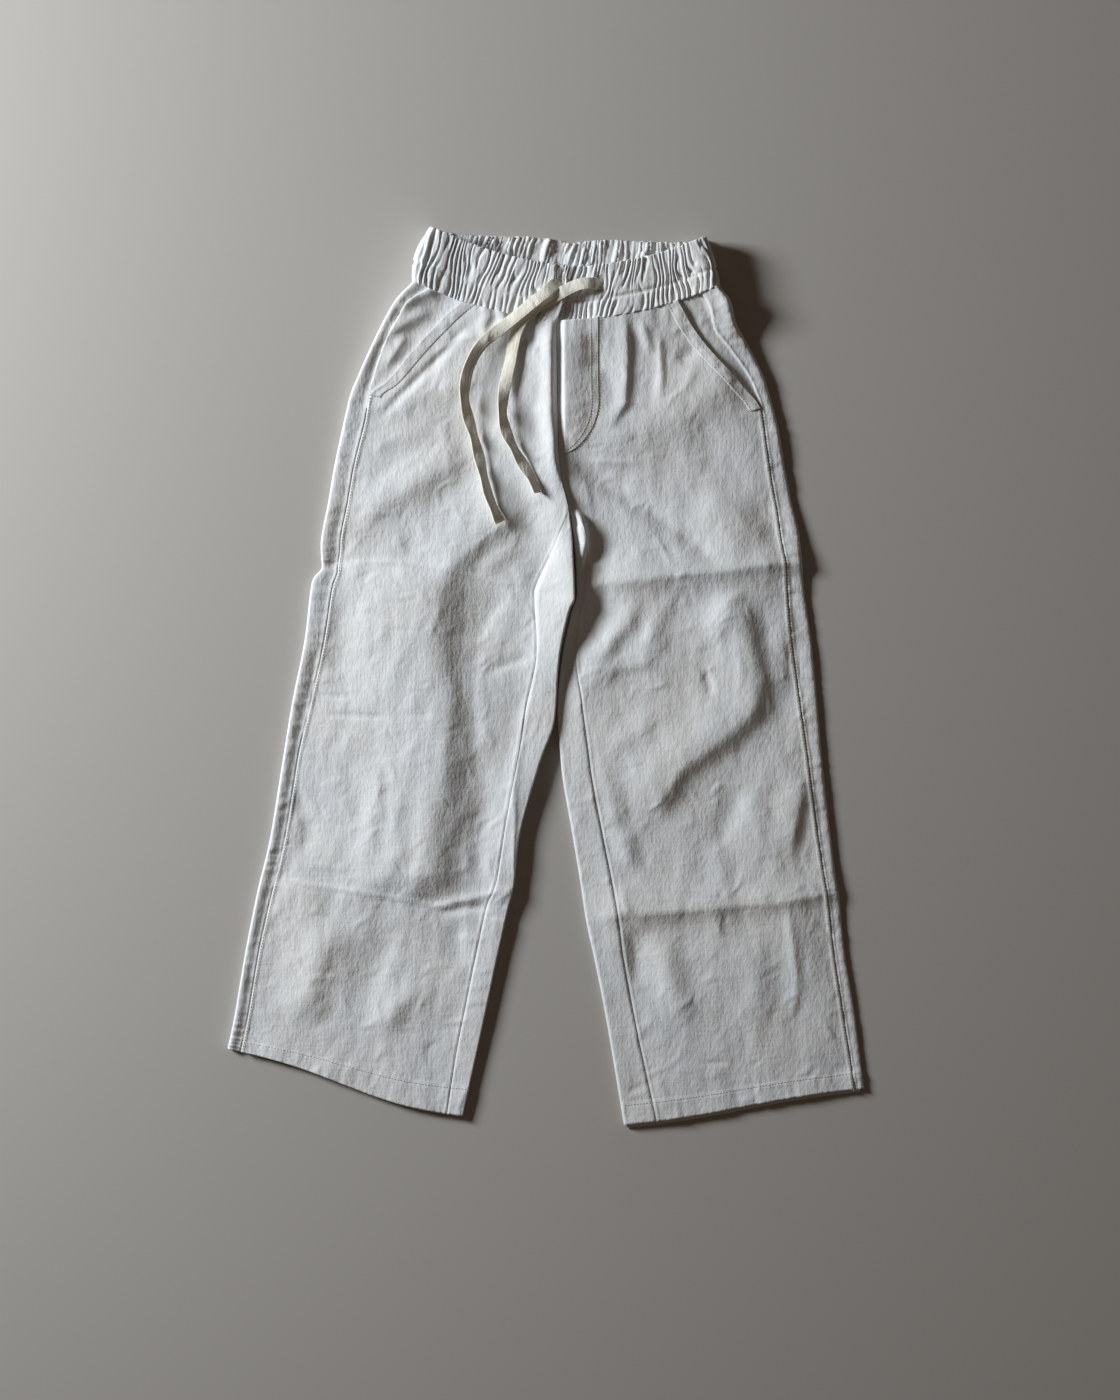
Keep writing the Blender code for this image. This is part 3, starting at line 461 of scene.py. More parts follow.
def upper(leg, places, d, up=0.0):
    """Points of the upper surface at distances d from the outer fold, raised by up."""
    row = sunk(leg, rows_at(leg.rows, places), places)
    width = width_of(row)
    left = to_hem(leg, places)[:, None]
    x, y = flat_place(row, d)
    edge = np.minimum(d, width - d)
    z = lie_of(row, d) + crumple_height(leg, x, y) * (0.3 + 0.7 * eased(edge / CALM_EDGE))
    z += WAIST_RIPPLE * grain(x / 4.6, y / 40, 60) * np.exp(-places[:, None] * 1.6)
    for crease in leg.creases:
        z += crease_height(crease, x, y)
    z = np.maximum(z, LOWEST) + hem_rise(left, d, leg.seed)
    return np.stack([x, y, z + up], axis=-1)


# %% Building a piece
WALL = 0.8
body = "root"
pieces = []


def add_piece(name, points, faces, material, thickness=None):
    """Mesh object at the origin, from points in millimetres."""
    mesh = bpy.data.meshes.new(name)
    mesh.from_pydata((np.asarray(points) * MM).tolist(), [], faces)
    mesh.materials.append(material)
    mesh.shade_smooth()
    piece = bpy.data.objects.new(name, mesh)
    bpy.context.scene.collection.objects.link(piece)
    if thickness:
        wall = piece.modifiers.new("wall", "SOLIDIFY")
        wall.thickness = thickness * MM
        wall.offset = -1
    pieces.append(piece)
    return piece


def add_sheet(name, grid, material, thickness=WALL):
    """Cloth from a grid of points, its face up."""
    count, across = grid.shape[:2]
    start = np.arange((count - 1) * across).reshape(count - 1, across)[:, :-1].ravel()
    faces = np.stack([start, start + across, start + across + 1, start + 1], axis=1)
    corner, down, over = grid[0, 0], grid[1, 0], grid[0, 1]
    if np.cross(down - corner, over - corner)[2] < 0:
        faces = faces[:, ::-1]
    piece = add_piece(name, grid.reshape(-1, 3), faces.tolist(), material, thickness)
    print(name, "faces:", len(faces))
    return piece


# %% [markdown]
# ## Washed linen
#
# Linen yarn varies in thickness, so the cloth has faint slubs in both directions. Washing
# shrinks it into a fine crinkle, a few millimetres across. It scatters light evenly, with
# almost no shine and a soft lightening at glancing angles from its loose fibres. A noise
# texture makes the crinkle as a bump, because it is too small to model with points.

# %% Materials
def linear(code):
    """sRGB hex colour as the linear values that a shader takes."""
    values = [int(code[k : k + 2], 16) / 255 for k in (1, 3, 5)]
    return (*[v / 12.92 if v <= 0.04045 else ((v + 0.055) / 1.055) ** 2.4 for v in values], 1)


def add_node(tree, kind, settings=None, links=None):
    """Node with its settings, and its inputs by name or number: a socket or a value."""
    node = tree.nodes.new(kind)
    for name, value in (settings or {}).items():
        setattr(node, name, value)
    for name, value in (links or {}).items():
        if isinstance(value, bpy.types.NodeSocket):
            tree.links.new(value, node.inputs[name])
        else:
            node.inputs[name].default_value = value
    return node


def noise_at(tree, place, swell, values=None, settings=None):
    """Noise that swells once in this many metres."""
    links = {"Vector": place, "Scale": 1 / swell, **(values or {})}
    return add_node(tree, "ShaderNodeTexNoise", settings, links).outputs["Fac"]


def scaled(tree, place, scale):
    """Place with each of its directions drawn out or in."""
    return add_node(tree, "ShaderNodeMapping", {}, {"Vector": place, "Scale": scale}).outputs[0]


def bump(tree, height, depth, under=None):
    """Bump of a depth in mm, on top of another one where there is one."""
    links = {"Strength": 1.0, "Distance": depth * MM, "Height": height}
    if under is not None:
        links["Normal"] = under
    return add_node(tree, "ShaderNodeBump", {}, links).outputs[0]


def new_material(name, colour):
    """Material and its shader, in one plain colour."""
    material = bpy.data.materials.new(name)
    material.use_nodes = True
    shader = material.node_tree.nodes["Principled BSDF"]
    shader.inputs["Base Color"].default_value = linear(colour)
    material.diffuse_color = linear(colour)
    return material, shader


def make_linen(name, pale, warm, crinkle):
    """Washed linen: pale and warm are its two tones, crinkle the depth of its bump in mm."""
    material, shader = new_material(name, pale)
    tree = material.node_tree
    place = add_node(tree, "ShaderNodeTexCoord").outputs["Object"]
    # Washing leaves patches a hand wide that are a little warmer
    patches = noise_at(tree, place, 0.07)
    # Slubs: thicker yarns, 1 mm wide and 20 mm long, drawn at twice their real width
    warp = noise_at(tree, scaled(tree, place, (1.0, 0.09, 1.0)), 0.0022, {"Detail": 1.0})
    weft = noise_at(tree, scaled(tree, place, (0.09, 1.0, 1.0)), 0.0022, {"Detail": 1.0})
    slubs = add_node(tree, "ShaderNodeMath", {"operation": "ADD"}, {0: warp, 1: weft})
    # Crinkle from washing: 2 mm across and twice as long
    along = scaled(tree, place, (1.0, 0.5, 1.0))
    crinkles = noise_at(tree, along, 0.0022, {"Detail": 2.0, "Roughness": 0.6})
    # Sharp little creases, 17 mm apart, with finer ones between them
    ridged = {"noise_type": "RIDGED_MULTIFRACTAL", "normalize": True}
    creased = noise_at(tree, place, 0.017, {"Detail": 2.5, "Distortion": 0.6}, ridged)
    span = {"Value": patches, "From Min": 0.35, "From Max": 0.65}
    tone = add_node(tree, "ShaderNodeMapRange", {}, span).outputs[0]
    tones = {"Factor": tone, 6: linear(pale), 7: linear(warm)}
    colour = add_node(tree, "ShaderNodeMix", {"data_type": "RGBA"}, tones)
    tree.links.new(colour.outputs[2], shader.inputs["Base Color"])
    shader.inputs["Roughness"].default_value = 0.92
    shader.inputs["Specular IOR Level"].default_value = 0.18
    shader.inputs["Sheen Weight"].default_value = 0.12
    shader.inputs["Sheen Roughness"].default_value = 0.6
    washed = bump(tree, crinkles, crinkle)
    crumpled = bump(tree, creased, 2.6 * crinkle, washed)
    woven = bump(tree, slubs.outputs[0], 0.12, crumpled)
    tree.links.new(woven, shader.inputs["Normal"])
    return material


# Bleached to off-white: the eye sees clean cloth with a little of the flax left in it
linen = make_linen("washed_linen", "#ECEEF0", "#EDECEA", 0.42)
# The tape is a folded strip of the same cloth, a little creamier where it is doubled
tape_linen = make_linen("doubled_linen_tape", "#F8F4E9", "#F3EDDD", 0.5)
# Cotton thread: the stitches read as slightly darker, warmer dots
thread, thread_shader = new_material("cotton_thread", "#DDD6C8")
thread_shader.inputs["Roughness"].default_value = 0.7
print("materials:", linen.name, tape_linen.name, thread.name)

# %% [markdown]
# ## Front panels
#
# A front runs from the pocket mouth and side seam across to the centre seam, and below the
# crotch to the inseam. At both seams it is folded under, which shows as a narrow raised strip.
# The grid's columns follow both seams, so the strips stay even however the leg bends.
# Where the right front meets the centre seam it stands higher than the left one, so its edge
# also turns down to meet it.

# %% Front panels
COLUMN_STEP = 1.9
SEAM_COLUMNS = np.array([0, 0.35, 0.8, 1.4, 2.0, 2.7, 3.6, 5.0])
UNDER_BAND = -0.07  # the panels reach a little way up under the waistband
EDGE_OUT = 0.25
CENTRE_DROP, EDGE_DROP = 4.6, 0.6  # turned down at the centre seam, and below the crotch


def columns(first, last):
    """Distances across a piece in each row: crowded at its seams, even between them."""
    room = last - first - 2 * SEAM_COLUMNS[-1]
    count = math.ceil(room.max() / COLUMN_STEP)
    even = np.linspace(0, 1, count + 1)[1:-1]
    middle = first + SEAM_COLUMNS[-1] + room * even
    return np.hstack([first + SEAM_COLUMNS, middle, last - SEAM_COLUMNS[::-1]])


def below_crotch(leg, places):
    """0 above the crotch of a leg, and 1 below it."""
    return (places > crotch_of(leg.rows)).astype(float)[:, None]


def make_front(leg):
    """Front of one leg."""
    places = grid_places(leg, UNDER_BAND)
    row = rows_at(leg.rows, places)
    below = below_crotch(leg, places)
    first, last = row.mouth, width_of(row) - row.inseam
    if leg is LEFT:
        last = last - 0.5 * (1 - below)
    d = columns(first, last)
    allowance = np.maximum(seam_rise(d - first), 0.6 * seam_rise(last - d) * below)
    grid = upper(leg, places, d, allowance)
    if leg is RIGHT:
        turned = grid[:, -1:, :].copy()
        turned[:, :, 0] += EDGE_OUT
        turned[:, :, 2] -= CENTRE_DROP * (1 - below) + EDGE_DROP * below
        grid = np.concatenate([grid, turned], axis=1)
    return add_sheet("front_" + leg.name + "_cloth", grid, linen)


fronts = {leg.name: make_front(leg) for leg in LEGS}

# %% [markdown]
# ## Back panels
#
# The back of each leg lies on the table and is wider than the front, so it wraps round both
# edges and shows as a narrow strip beside each seam. One section goes from the side seam,
# round the outer fold, under the leg and up round the inner fold to the inseam. Made so, it
# is one sheet with no joint at its folds, as the cut piece is.

# %% Back panels
STRIP_SHARES = np.array([0, 0.03, 0.07, 0.12, 0.17, 0.24, 0.33, 0.44, 0.56, 0.7, 0.84, 1.0])
ROLL_ANGLES = np.radians(np.linspace(90, -90, 11))[1:]
UNDER_COLUMNS = 12
STRIP_PUCKER = 0.5
STRIP_FALL = {"right": 2.5, "left": 0.5}  # how much the strip sinks towards the seam


def rolled(row, height, reach, angle, at_inner):
    """Points on a rounded edge fold: angle 90 is on top, 0 at the side, -90 below."""
    off = reach * (1 - math.cos(angle))
    d = width_of(row) - off if at_inner else off
    x, y = flat_place(row, d, angle <= 0)
    return np.stack([x, y, height / 2 * (1 + math.sin(angle)) + 0 * x], axis=-1)


def strip_pucker(leg, places, d):
    """Small ripples across the strip of back that shows beside the side seam."""
    left = to_hem(leg, places)[:, None]
    return STRIP_PUCKER * grain(left / 3.9 + 0 * d, d / 14, leg.seed + 31)


def make_back(leg):
    """Back of one leg."""
    places = grid_places(leg, UNDER_BAND)
    row = rows_at(leg.rows, places)
    width = width_of(row)
    below = below_crotch(leg, places)[:, :, None]
    outer = row.seam + (leg.roll_out - row.seam) * STRIP_SHARES
    raised = strip_pucker(leg, places, outer) + seam_rise(row.seam - outer)
    raised -= STRIP_FALL[leg.name] * eased((outer - leg.roll_out) / (row.seam - leg.roll_out))
    parts = [upper(leg, places, outer, raised)]
    parts[0][:, :, 2] = np.maximum(parts[0][:, :, 2], LOWEST - 0.4)
    height = parts[0][:, -1:, 2]
    parts += [rolled(row, height, leg.roll_out, angle, False) for angle in ROLL_ANGLES]
    reach = np.minimum(leg.roll_in, 0.45 * row.inseam)
    shares = np.linspace(0, 1, UNDER_COLUMNS + 1)[1:]
    across = leg.roll_out + (width - reach - leg.roll_out) * shares
    under = np.stack([*flat_place(row, across, True), 0 * across], axis=-1)
    parts.append(under)
    inner_d = width - reach - (row.inseam - reach) * STRIP_SHARES
    inner = upper(leg, places, inner_d, -0.1)
    height = inner[:, :1, 2]
    roll = [rolled(row, height, reach, angle, True) for angle in -ROLL_ANGLES[:-1]]
    standing = np.concatenate([*roll, inner], axis=1)
    flat_d = width - reach + reach * np.linspace(0, 1, standing.shape[1] + 1)[1:]
    flat = np.stack([*flat_place(row, flat_d, True), 0 * flat_d], axis=-1)
    parts.append(np.where(below > 0, standing, flat))
    grid = np.concatenate(parts, axis=1)
    left = to_hem(leg, places)[:, None]
    on_table = grid[:, :, 2] < 0.01
    grid[:, :, 1] -= np.where(on_table, leg.hem_lift * (1 - eased(left / 30)), 0)
    return add_sheet("back_" + leg.name + "_cloth", grid, linen)


backs = {leg.name: make_back(leg) for leg in LEGS}

# %% [markdown]
# ## Pockets and mock fly
#
# The pocket mouth is a curved edge, turned under and stitched about a centimetre in. Behind
# it lies a second piece of cloth, which shows in the gap up to the side seam. The fly is
# only for looks: a second layer on the left front, held by a double row in the shape of a J.
# Each is a grid on the leg's own surface, raised or sunk by the thickness of what it lies on.

# %% Pockets and mock fly
POCKET_BAND = 9.0
# The facing starts under the side seam, ends under the front and lies this much lower
FACING_START, FACING_END, FACING_UNDER = 1.5, 7.5, 1.7
FLY_START = 4.6  # from the centre seam to the fold that the fly begins at
FLY_WIDTH, FLY_TIP = 33.0, 5.0
FLY_RISE = 0.45
FLY_ROWS = (1.2, 6.5)  # from the fly's curved edge in to each of its stitch rows
MOUTH_RISE, MOUTH_FALL, MOUTH_PUCKER = 0.75, 0.55, 0.8
FLY_CURVE_TOP, FLY_END = 201.0, 165.0


def pocket_end(leg):
    """Place at which the pocket mouth runs into the side seam."""
    return [row.name for row in leg.rows].index("pocket")


def make_pocket(leg):
    """Facing and stitched band of one pocket."""
    places = grid_places(leg, UNDER_BAND, pocket_end(leg) + 0.5)
    row = rows_at(leg.rows, places)
    across = row.mouth + FACING_END - row.seam
    d = row.seam - FACING_START + across * np.linspace(0, 1, 18)
    lying = upper(leg, places, d, -FACING_UNDER)
    facing = add_sheet("pocket_facing_" + leg.name + "_cloth", lying, linen)
    places = grid_places(leg, UNDER_BAND, float(pocket_end(leg)))
    row = rows_at(leg.rows, places)
    share = np.array([0, 0.06, 0.15, 0.3, 0.45, 0.6, 0.75, 0.87, 0.95, 1.0])
    d = row.mouth + POCKET_BAND * share
    left = to_hem(leg, places)[:, None]
    pucker = MOUTH_PUCKER * grain(left / 3.4 + 0.6 * share, share * 1.2 + 0 * left, leg.seed + 5)
    up = MOUTH_RISE - MOUTH_FALL * share**3 + pucker * np.sin(np.pi * share)
    band = add_sheet("pocket_band_" + leg.name + "_cloth", upper(leg, places, d, up), linen, 0.7)
    return facing, band


def fly_width(y):
    """Width of the mock fly at height y of the layout: straight, then a J-shaped end."""
    into_curve = (FLY_CURVE_TOP - y) / (FLY_CURVE_TOP - FLY_END)
    curve = FLY_WIDTH * np.sqrt(np.clip(1 - np.clip(into_curve, 0, 1) ** 2, 0, 1))
    return np.maximum(FLY_TIP, curve)


pockets = {leg.name: make_pocket(leg) for leg in LEGS}
fly_places = grid_places(LEFT, UNDER_BAND, float(crotch_of(LEFT_LEG)))
fly_places = fly_places[rows_at(LEFT_LEG, fly_places).in_y[:, 0] > FLY_END]
fly_row = rows_at(LEFT_LEG, fly_places)
fly_edge = width_of(fly_row) - FLY_START
fly_share = np.linspace(0, 1, 22)
fly_d = fly_edge - (fly_width(fly_row.in_y) - FLY_START) * (1 - fly_share)
fly_up = FLY_RISE * eased(fly_share / 0.08) * eased((1 - fly_share) / 0.04) + 0.1
fly = add_sheet("mock_fly_cloth", upper(LEFT, fly_places, fly_d, fly_up), linen, 0.5)

# %% [markdown]
# ## Gathered waistband
#
# The band is a folded strip of cloth sewn to a shorter elastic. When the elastic draws in,
# the cloth rises in narrow ridges that run up the band and pinch at each stitch line. The
# ridges repeat all round but no two are alike. Geometry Nodes suit that: the script makes a
# smooth ring, and the nodes push it inwards between the crests by a rule, with noise in the
# spacing and the depth.

# %% Smooth ring of the waistband
GATHERS = 112
POINTS_A_GATHER = 9
BAND_LEVELS = 34
CHANNEL = 0.36  # height of the lower stitch line, as a share of the band
BULGES = {"right": 4.5, "left": 1.3}
HOLES = ((10.5, 297.5), (40.5, 292.5))
HOLLOW_DEPTH, PIT_DEPTH = 2.6, 3.4  # between the buttonholes, and at each of them
CREST_RISE = 0.9  # the crests of the front stand this much over the smooth ring
BAND_FOLD = 5.0  # how far in from its sides the band starts to turn under
BAND_WALL = 1.2  # two layers of cloth and the elastic between them, pressed flat


def even_line(points, count):
    """Points at equal steps along a line, from its first to its last."""
    run = np.concatenate([[0], np.cumsum(np.linalg.norm(np.diff(points, axis=0), axis=1))])
    wanted = np.linspace(0, run[-1], count + 1)
    return np.stack([np.interp(wanted, run, points[:, k]) for k in range(3)], axis=-1)


def band_side(row, count):
    """Half of the band's line, from the centre front round the fold to the centre back."""
    row = row._replace(in_x=row.in_x + np.zeros((1, 1)))
    width = width_of(row)
    d = np.linspace(1, 0, 120)[None, :] * (width - BAND_FOLD) + BAND_FOLD
    top = np.stack([*flat_place(row, d), lie_of(row, d)], axis=-1)[0]
    angles = np.radians(np.arange(80, -91, -5))
    fold = [rolled(row, top[-1, 2], BAND_FOLD, angle, False)[0, 0] for angle in angles]
    d = np.linspace(0, 1, 121)[None, 1:] * (width - BAND_FOLD) + BAND_FOLD
    below = np.stack([*flat_place(row, d, True), 0 * d], axis=-1)[0]
    return even_line(np.vstack([top, fold, below]), count)


def band_dents(points):
    """How far the front sinks: a hollow between the buttonholes, and a pit at each."""
    x, y = points[:, 0], points[:, 1]
    depth = HOLLOW_DEPTH * np.exp(-(((x - 27) / 11) ** 2) - ((y - 288) / 30) ** 2)
    for hole_x, hole_y in HOLES:
        pit = np.exp(-(((x - hole_x) / 3.0) ** 4) - ((y - hole_y) / 8) ** 4)
        depth = depth + PIT_DEPTH * pit
    return depth


def band_ring():
    """Points of the smooth ring, one row for each level up the band."""
    half = GATHERS * POINTS_A_GATHER // 2
    lines = []
    for leg in LEGS:
        low = band_side(rows_at(leg.rows, np.zeros(1)), half)
        high = band_side(Row("", *np.array(leg.rim[1:], float).reshape(-1, 1, 1)), half)
        lines.append((low, high, np.full(half + 1, BULGES[leg.name])))
    # Down the right half to the centre back, then up the left half to the centre front
    low, high, bulge = (np.concatenate([a[:-1], b[:0:-1]]) for a, b in zip(*lines))
    ring = []
    for level in np.linspace(0, 1, BAND_LEVELS):
        middle = low + (high - low) * level
        onward = np.roll(middle, -4, axis=0) - np.roll(middle, 4, axis=0)
        out = np.stack([onward[:, 2], 0 * onward[:, 0], -onward[:, 0]], axis=-1)
        out /= np.linalg.norm(out, axis=1)[:, None] + 1e-9
        swell = bulge * np.sin(np.pi * level) * np.abs(out[:, 0])
        swell = swell + CREST_RISE * (out[:, 2] > 0)
        swell -= band_dents(middle) * (out[:, 2] > 0.5)
        ring.append(middle + out * swell[:, None])
    return np.array(ring)


ring = band_ring()
print("ring:", ring.shape)
levels, around_count = ring.shape[:2]


# %% Gathers
def plain_mesh(item):
    """Turn what an object's modifiers make into its own mesh, and drop the modifiers."""
    bpy.context.view_layer.update()
    found = item.evaluated_get(bpy.context.evaluated_depsgraph_get())
    mesh = bpy.data.meshes.new_from_object(found)
    item.modifiers.clear()
    old = item.data
    item.data = mesh
    bpy.data.meshes.remove(old)
    mesh.name = item.name
    return item


def new_tree(name, inputs):
    """Geometry tree with named inputs, each given as its socket type and value."""
    tree = bpy.data.node_groups.new(name, "GeometryNodeTree")
    tree.interface.new_socket("Geometry", in_out="INPUT", socket_type="NodeSocketGeometry")
    tree.interface.new_socket("Geometry", in_out="OUTPUT", socket_type="NodeSocketGeometry")
    for label, (kind, value) in inputs.items():
        socket = tree.interface.new_socket(label, in_out="INPUT", socket_type=kind)
        if value is not None:
            socket.default_value = value
    return tree, add_node(tree, "NodeGroupInput").outputs


def run_tree(item, tree, values):
    """Add the tree to an object with these inputs, and make the result its mesh."""
    nodes = item.modifiers.new(tree.name, "NODES")
    nodes.node_group = tree
    sockets = {s.name: s.identifier for s in tree.interface.items_tree if s.in_out == "INPUT"}
    for name, value in values.items():
        nodes[sockets[name]] = value
    return plain_mesh(item)


def finish_tree(tree, geometry, material):
    """End a tree: real geometry with its material."""
    real = add_node(tree, "GeometryNodeRealizeInstances", {}, {"Geometry": geometry})
    smooth = add_node(tree, "GeometryNodeSetShadeSmooth", {}, {0: real.outputs[0]})
    done = add_node(
        tree, "GeometryNodeSetMaterial", {}, {"Geometry": smooth.outputs[0], "Material": material}
    )
    add_node(tree, "NodeGroupOutput", {}, {"Geometry": done.outputs[0]})


def gather_tree():
    """Nodes that push a smooth ring in between the crests of its gathers."""
    tree, given = new_tree(
        "gathers",
        {
            "Depth": ("NodeSocketFloat", 0.0022),
            "Channel": ("NodeSocketFloat", CHANNEL),
            "Pinch": ("NodeSocketFloat", 0.0010),
            "Seed": ("NodeSocketFloat", 4.0),
            "Material": ("NodeSocketMaterial", None),
        },
    )

    def math_node(operation, a, b=0.0):
        """Socket of one sum."""
        node = add_node(tree, "ShaderNodeMath", {"operation": operation}, {0: a, 1: b})
        return node.outputs[0]

    def attribute(name):
        """Socket of a value kept on each point."""
        node = add_node(tree, "GeometryNodeInputNamedAttribute", {}, {"Name": name})
        return node.outputs["Attribute"]

    def noise(x_scale, y_scale, shift, size):
        """Random value from -size to size, over the band's own two directions."""
        place = add_node(
            tree,
            "ShaderNodeCombineXYZ",
            {},
            {
                0: math_node("MULTIPLY", around, x_scale),
                1: math_node("MULTIPLY", up, y_scale),
                2: math_node("ADD", given["Seed"], shift),
            },
        )
        node = add_node(
            tree, "ShaderNodeTexNoise", {}, {"Vector": place.outputs[0], "Scale": 1.0, "Detail": 1.0}
        )
        centred = math_node("SUBTRACT", node.outputs["Fac"], 0.5)
        return math_node("MULTIPLY", centred, 3.2 * size)

    def hump(centre, width):
        """1 at a level of the band, falling to 0 over a width."""
        off = math_node("DIVIDE", math_node("SUBTRACT", up, centre), width)
        return math_node("EXPONENT", math_node("MULTIPLY", math_node("POWER", off, 2.0), -1.0))

    around, up = attribute("around"), attribute("up")
    above = add_node(
        tree,
        "ShaderNodeMapRange",
        {"interpolation_type": "SMOOTHSTEP"},
        {
            "Value": up,
            "From Min": math_node("SUBTRACT", given["Channel"], 0.03),
            "From Max": math_node("ADD", given["Channel"], 0.03),
        },
    ).outputs[0]
    # The crests wander, and change places as they cross the stitch line
    wander = math_node("ADD", noise(0.42, 1.4, 0.0, 0.8), noise(0.12, 0.6, 3.0, 1.8))
    swap = math_node("MULTIPLY", above, noise(0.6, 0.1, 7.0, 0.8))
    phase = math_node("ADD", around, math_node("ADD", wander, swap))
    wave = math_node("ABSOLUTE", math_node("SINE", math_node("MULTIPLY", phase, math.pi)))
    valley = math_node("SUBTRACT", 1.0, math_node("POWER", wave, 0.75))
    # Shallower at the stitch line, the seam and the rim, and uneven all round
    held = math_node("SUBTRACT", 1.0, math_node("MULTIPLY", hump(given["Channel"], 0.05), 0.5))
    held = math_node("SUBTRACT", held, math_node("MULTIPLY", hump(0.0, 0.08), 0.35))
    held = math_node("SUBTRACT", held, math_node("MULTIPLY", hump(1.0, 0.07), 0.3))
    uneven = math_node("MAXIMUM", math_node("ADD", 0.8, noise(0.45, 1.3, 12.0, 1.5)), 0.1)
    depth = math_node("MULTIPLY", math_node("MULTIPLY", valley, held), uneven)
    inwards = math_node("MULTIPLY", depth, given["Depth"])
    pinched = math_node("MULTIPLY", hump(given["Channel"], 0.035), given["Pinch"])
    total = math_node("MULTIPLY", math_node("ADD", inwards, pinched), -1.0)
    normal = add_node(tree, "GeometryNodeInputNormal").outputs[0]
    move = add_node(
        tree, "ShaderNodeVectorMath", {"operation": "SCALE"}, {0: normal, "Scale": total}
    )
    moved = add_node(
        tree,
        "GeometryNodeSetPosition",
        {},
        {"Geometry": given["Geometry"], "Offset": move.outputs["Vector"]},
    )
    finish_tree(tree, moved.outputs[0], given["Material"])
    return tree


start = np.arange(levels * around_count).reshape(levels, around_count)
after = np.roll(start, -1, axis=1)
faces = np.stack([start[:-1], after[:-1], after[1:], start[1:]], axis=-1).reshape(-1, 4)
ruffle = 0.8 * grain(np.arange(around_count) / 6.5, np.zeros(around_count), 77)
ring[:, :, 1] += np.linspace(0, 1, levels)[:, None] ** 8 * ruffle
if np.cross(ring[0, 1] - ring[0, 0], ring[1, 0] - ring[0, 0])[2] < 0:
    faces = faces[:, ::-1]
band = add_piece("waistband_cloth", ring.reshape(-1, 3), faces.tolist(), linen)
for name, values in (
    ("around", np.tile(np.arange(around_count) / POINTS_A_GATHER, levels)),
    ("up", np.repeat(np.linspace(0, 1, levels), around_count)),
):
    band.data.attributes.new(name, "FLOAT", "POINT").data.foreach_set("value", values)
run_tree(band, gather_tree(), {"Depth": 0.0026, "Pinch": 0.0012, "Seed": 4.0, "Material": linen})
wall = band.modifiers.new("wall", "SOLIDIFY")
wall.thickness = BAND_WALL * MM
wall.offset = -1
print("waistband faces:", len(band.data.polygons))

# %% [markdown]
# ## Stitches
#
# Machine stitches are short dashes of thread, lying in a row a set distance from the seam.
# The script works out each row as a line on the cloth. Geometry Nodes then walk along every
# line and set the same small dash at each step, turned to follow it. The real dashes are
# 2 mm long and as thin as 0.3 mm, so these are a little thicker, to show at all.

# %% Stitches
Stitch = namedtuple("Stitch", "pitch length thickness")
SEAM_STITCH = Stitch(2.3, 1.7, 0.42)
TAPE_STITCH = Stitch(1.9, 1.4, 0.35)
EDGE_STITCH = Stitch(0.9, 1.3, 1.1)
LINE_STEP = 2.0  # between the points of a stitch row


def stitch_tree():
    """Nodes that set one dash at each step along every line."""
    tree, given = new_tree(
        "stitches",
        {
            "Pitch": ("NodeSocketFloat", 0.0023),
            "Length": ("NodeSocketFloat", 0.0017),
            "Thickness": ("NodeSocketFloat", 0.0004),
            "Material": ("NodeSocketMaterial", None),
        },
    )
    line = add_node(tree, "GeometryNodeMeshToCurve", {}, {"Mesh": given["Geometry"]})
    steps = add_node(
        tree,
        "GeometryNodeResampleCurve",
        {"mode": "LENGTH"},
        {"Curve": line.outputs[0], "Length": given["Pitch"]},
    )
    dash = add_node(
        tree, "GeometryNodeMeshUVSphere", {}, {"Segments": 6, "Rings": 4, "Radius": 0.5}
    )
    tangent = add_node(tree, "GeometryNodeInputTangent")
    turned = add_node(
        tree,
        "FunctionNodeAlignRotationToVector",
        {"axis": "Z"},
        {"Vector": tangent.outputs[0]},
    )
    size = add_node(
        tree,
        "ShaderNodeCombineXYZ",
        {},
        {0: given["Thickness"], 1: given["Thickness"], 2: given["Length"]},
    )
    dashes = add_node(
        tree,
        "GeometryNodeInstanceOnPoints",
        {},
        {
            "Points": steps.outputs[0],
            "Instance": dash.outputs["Mesh"],
            "Rotation": turned.outputs[0],
            "Scale": size.outputs[0],
        },
    )
    finish_tree(tree, dashes.outputs[0], given["Material"])
    return tree


stitching = stitch_tree()


def add_stitches(name, lines, stitch=SEAM_STITCH):
    """Rows of stitches along lines of points."""
    points = np.vstack(lines) * MM
    edges, start = [], 0
    for line in lines:
        edges += [(k, k + 1) for k in range(start, start + len(line) - 1)]
        start += len(line)
    mesh = bpy.data.meshes.new(name)
    mesh.from_pydata(points.tolist(), edges, [])
    item = bpy.data.objects.new(name, mesh)
    bpy.context.scene.collection.objects.link(item)
    sizes = {"Pitch": stitch.pitch, "Length": stitch.length, "Thickness": stitch.thickness}
    values = {name: size * MM for name, size in sizes.items()}
    run_tree(item, stitching, {**values, "Material": thread})
    print(name, "faces:", len(item.data.polygons))
    return item


def row_line(leg, places, d, up=0.15):
    """Line down a leg at distances d, one for each place."""
    return upper(leg, places, np.asarray(d).reshape(-1, 1), up)[:, 0]


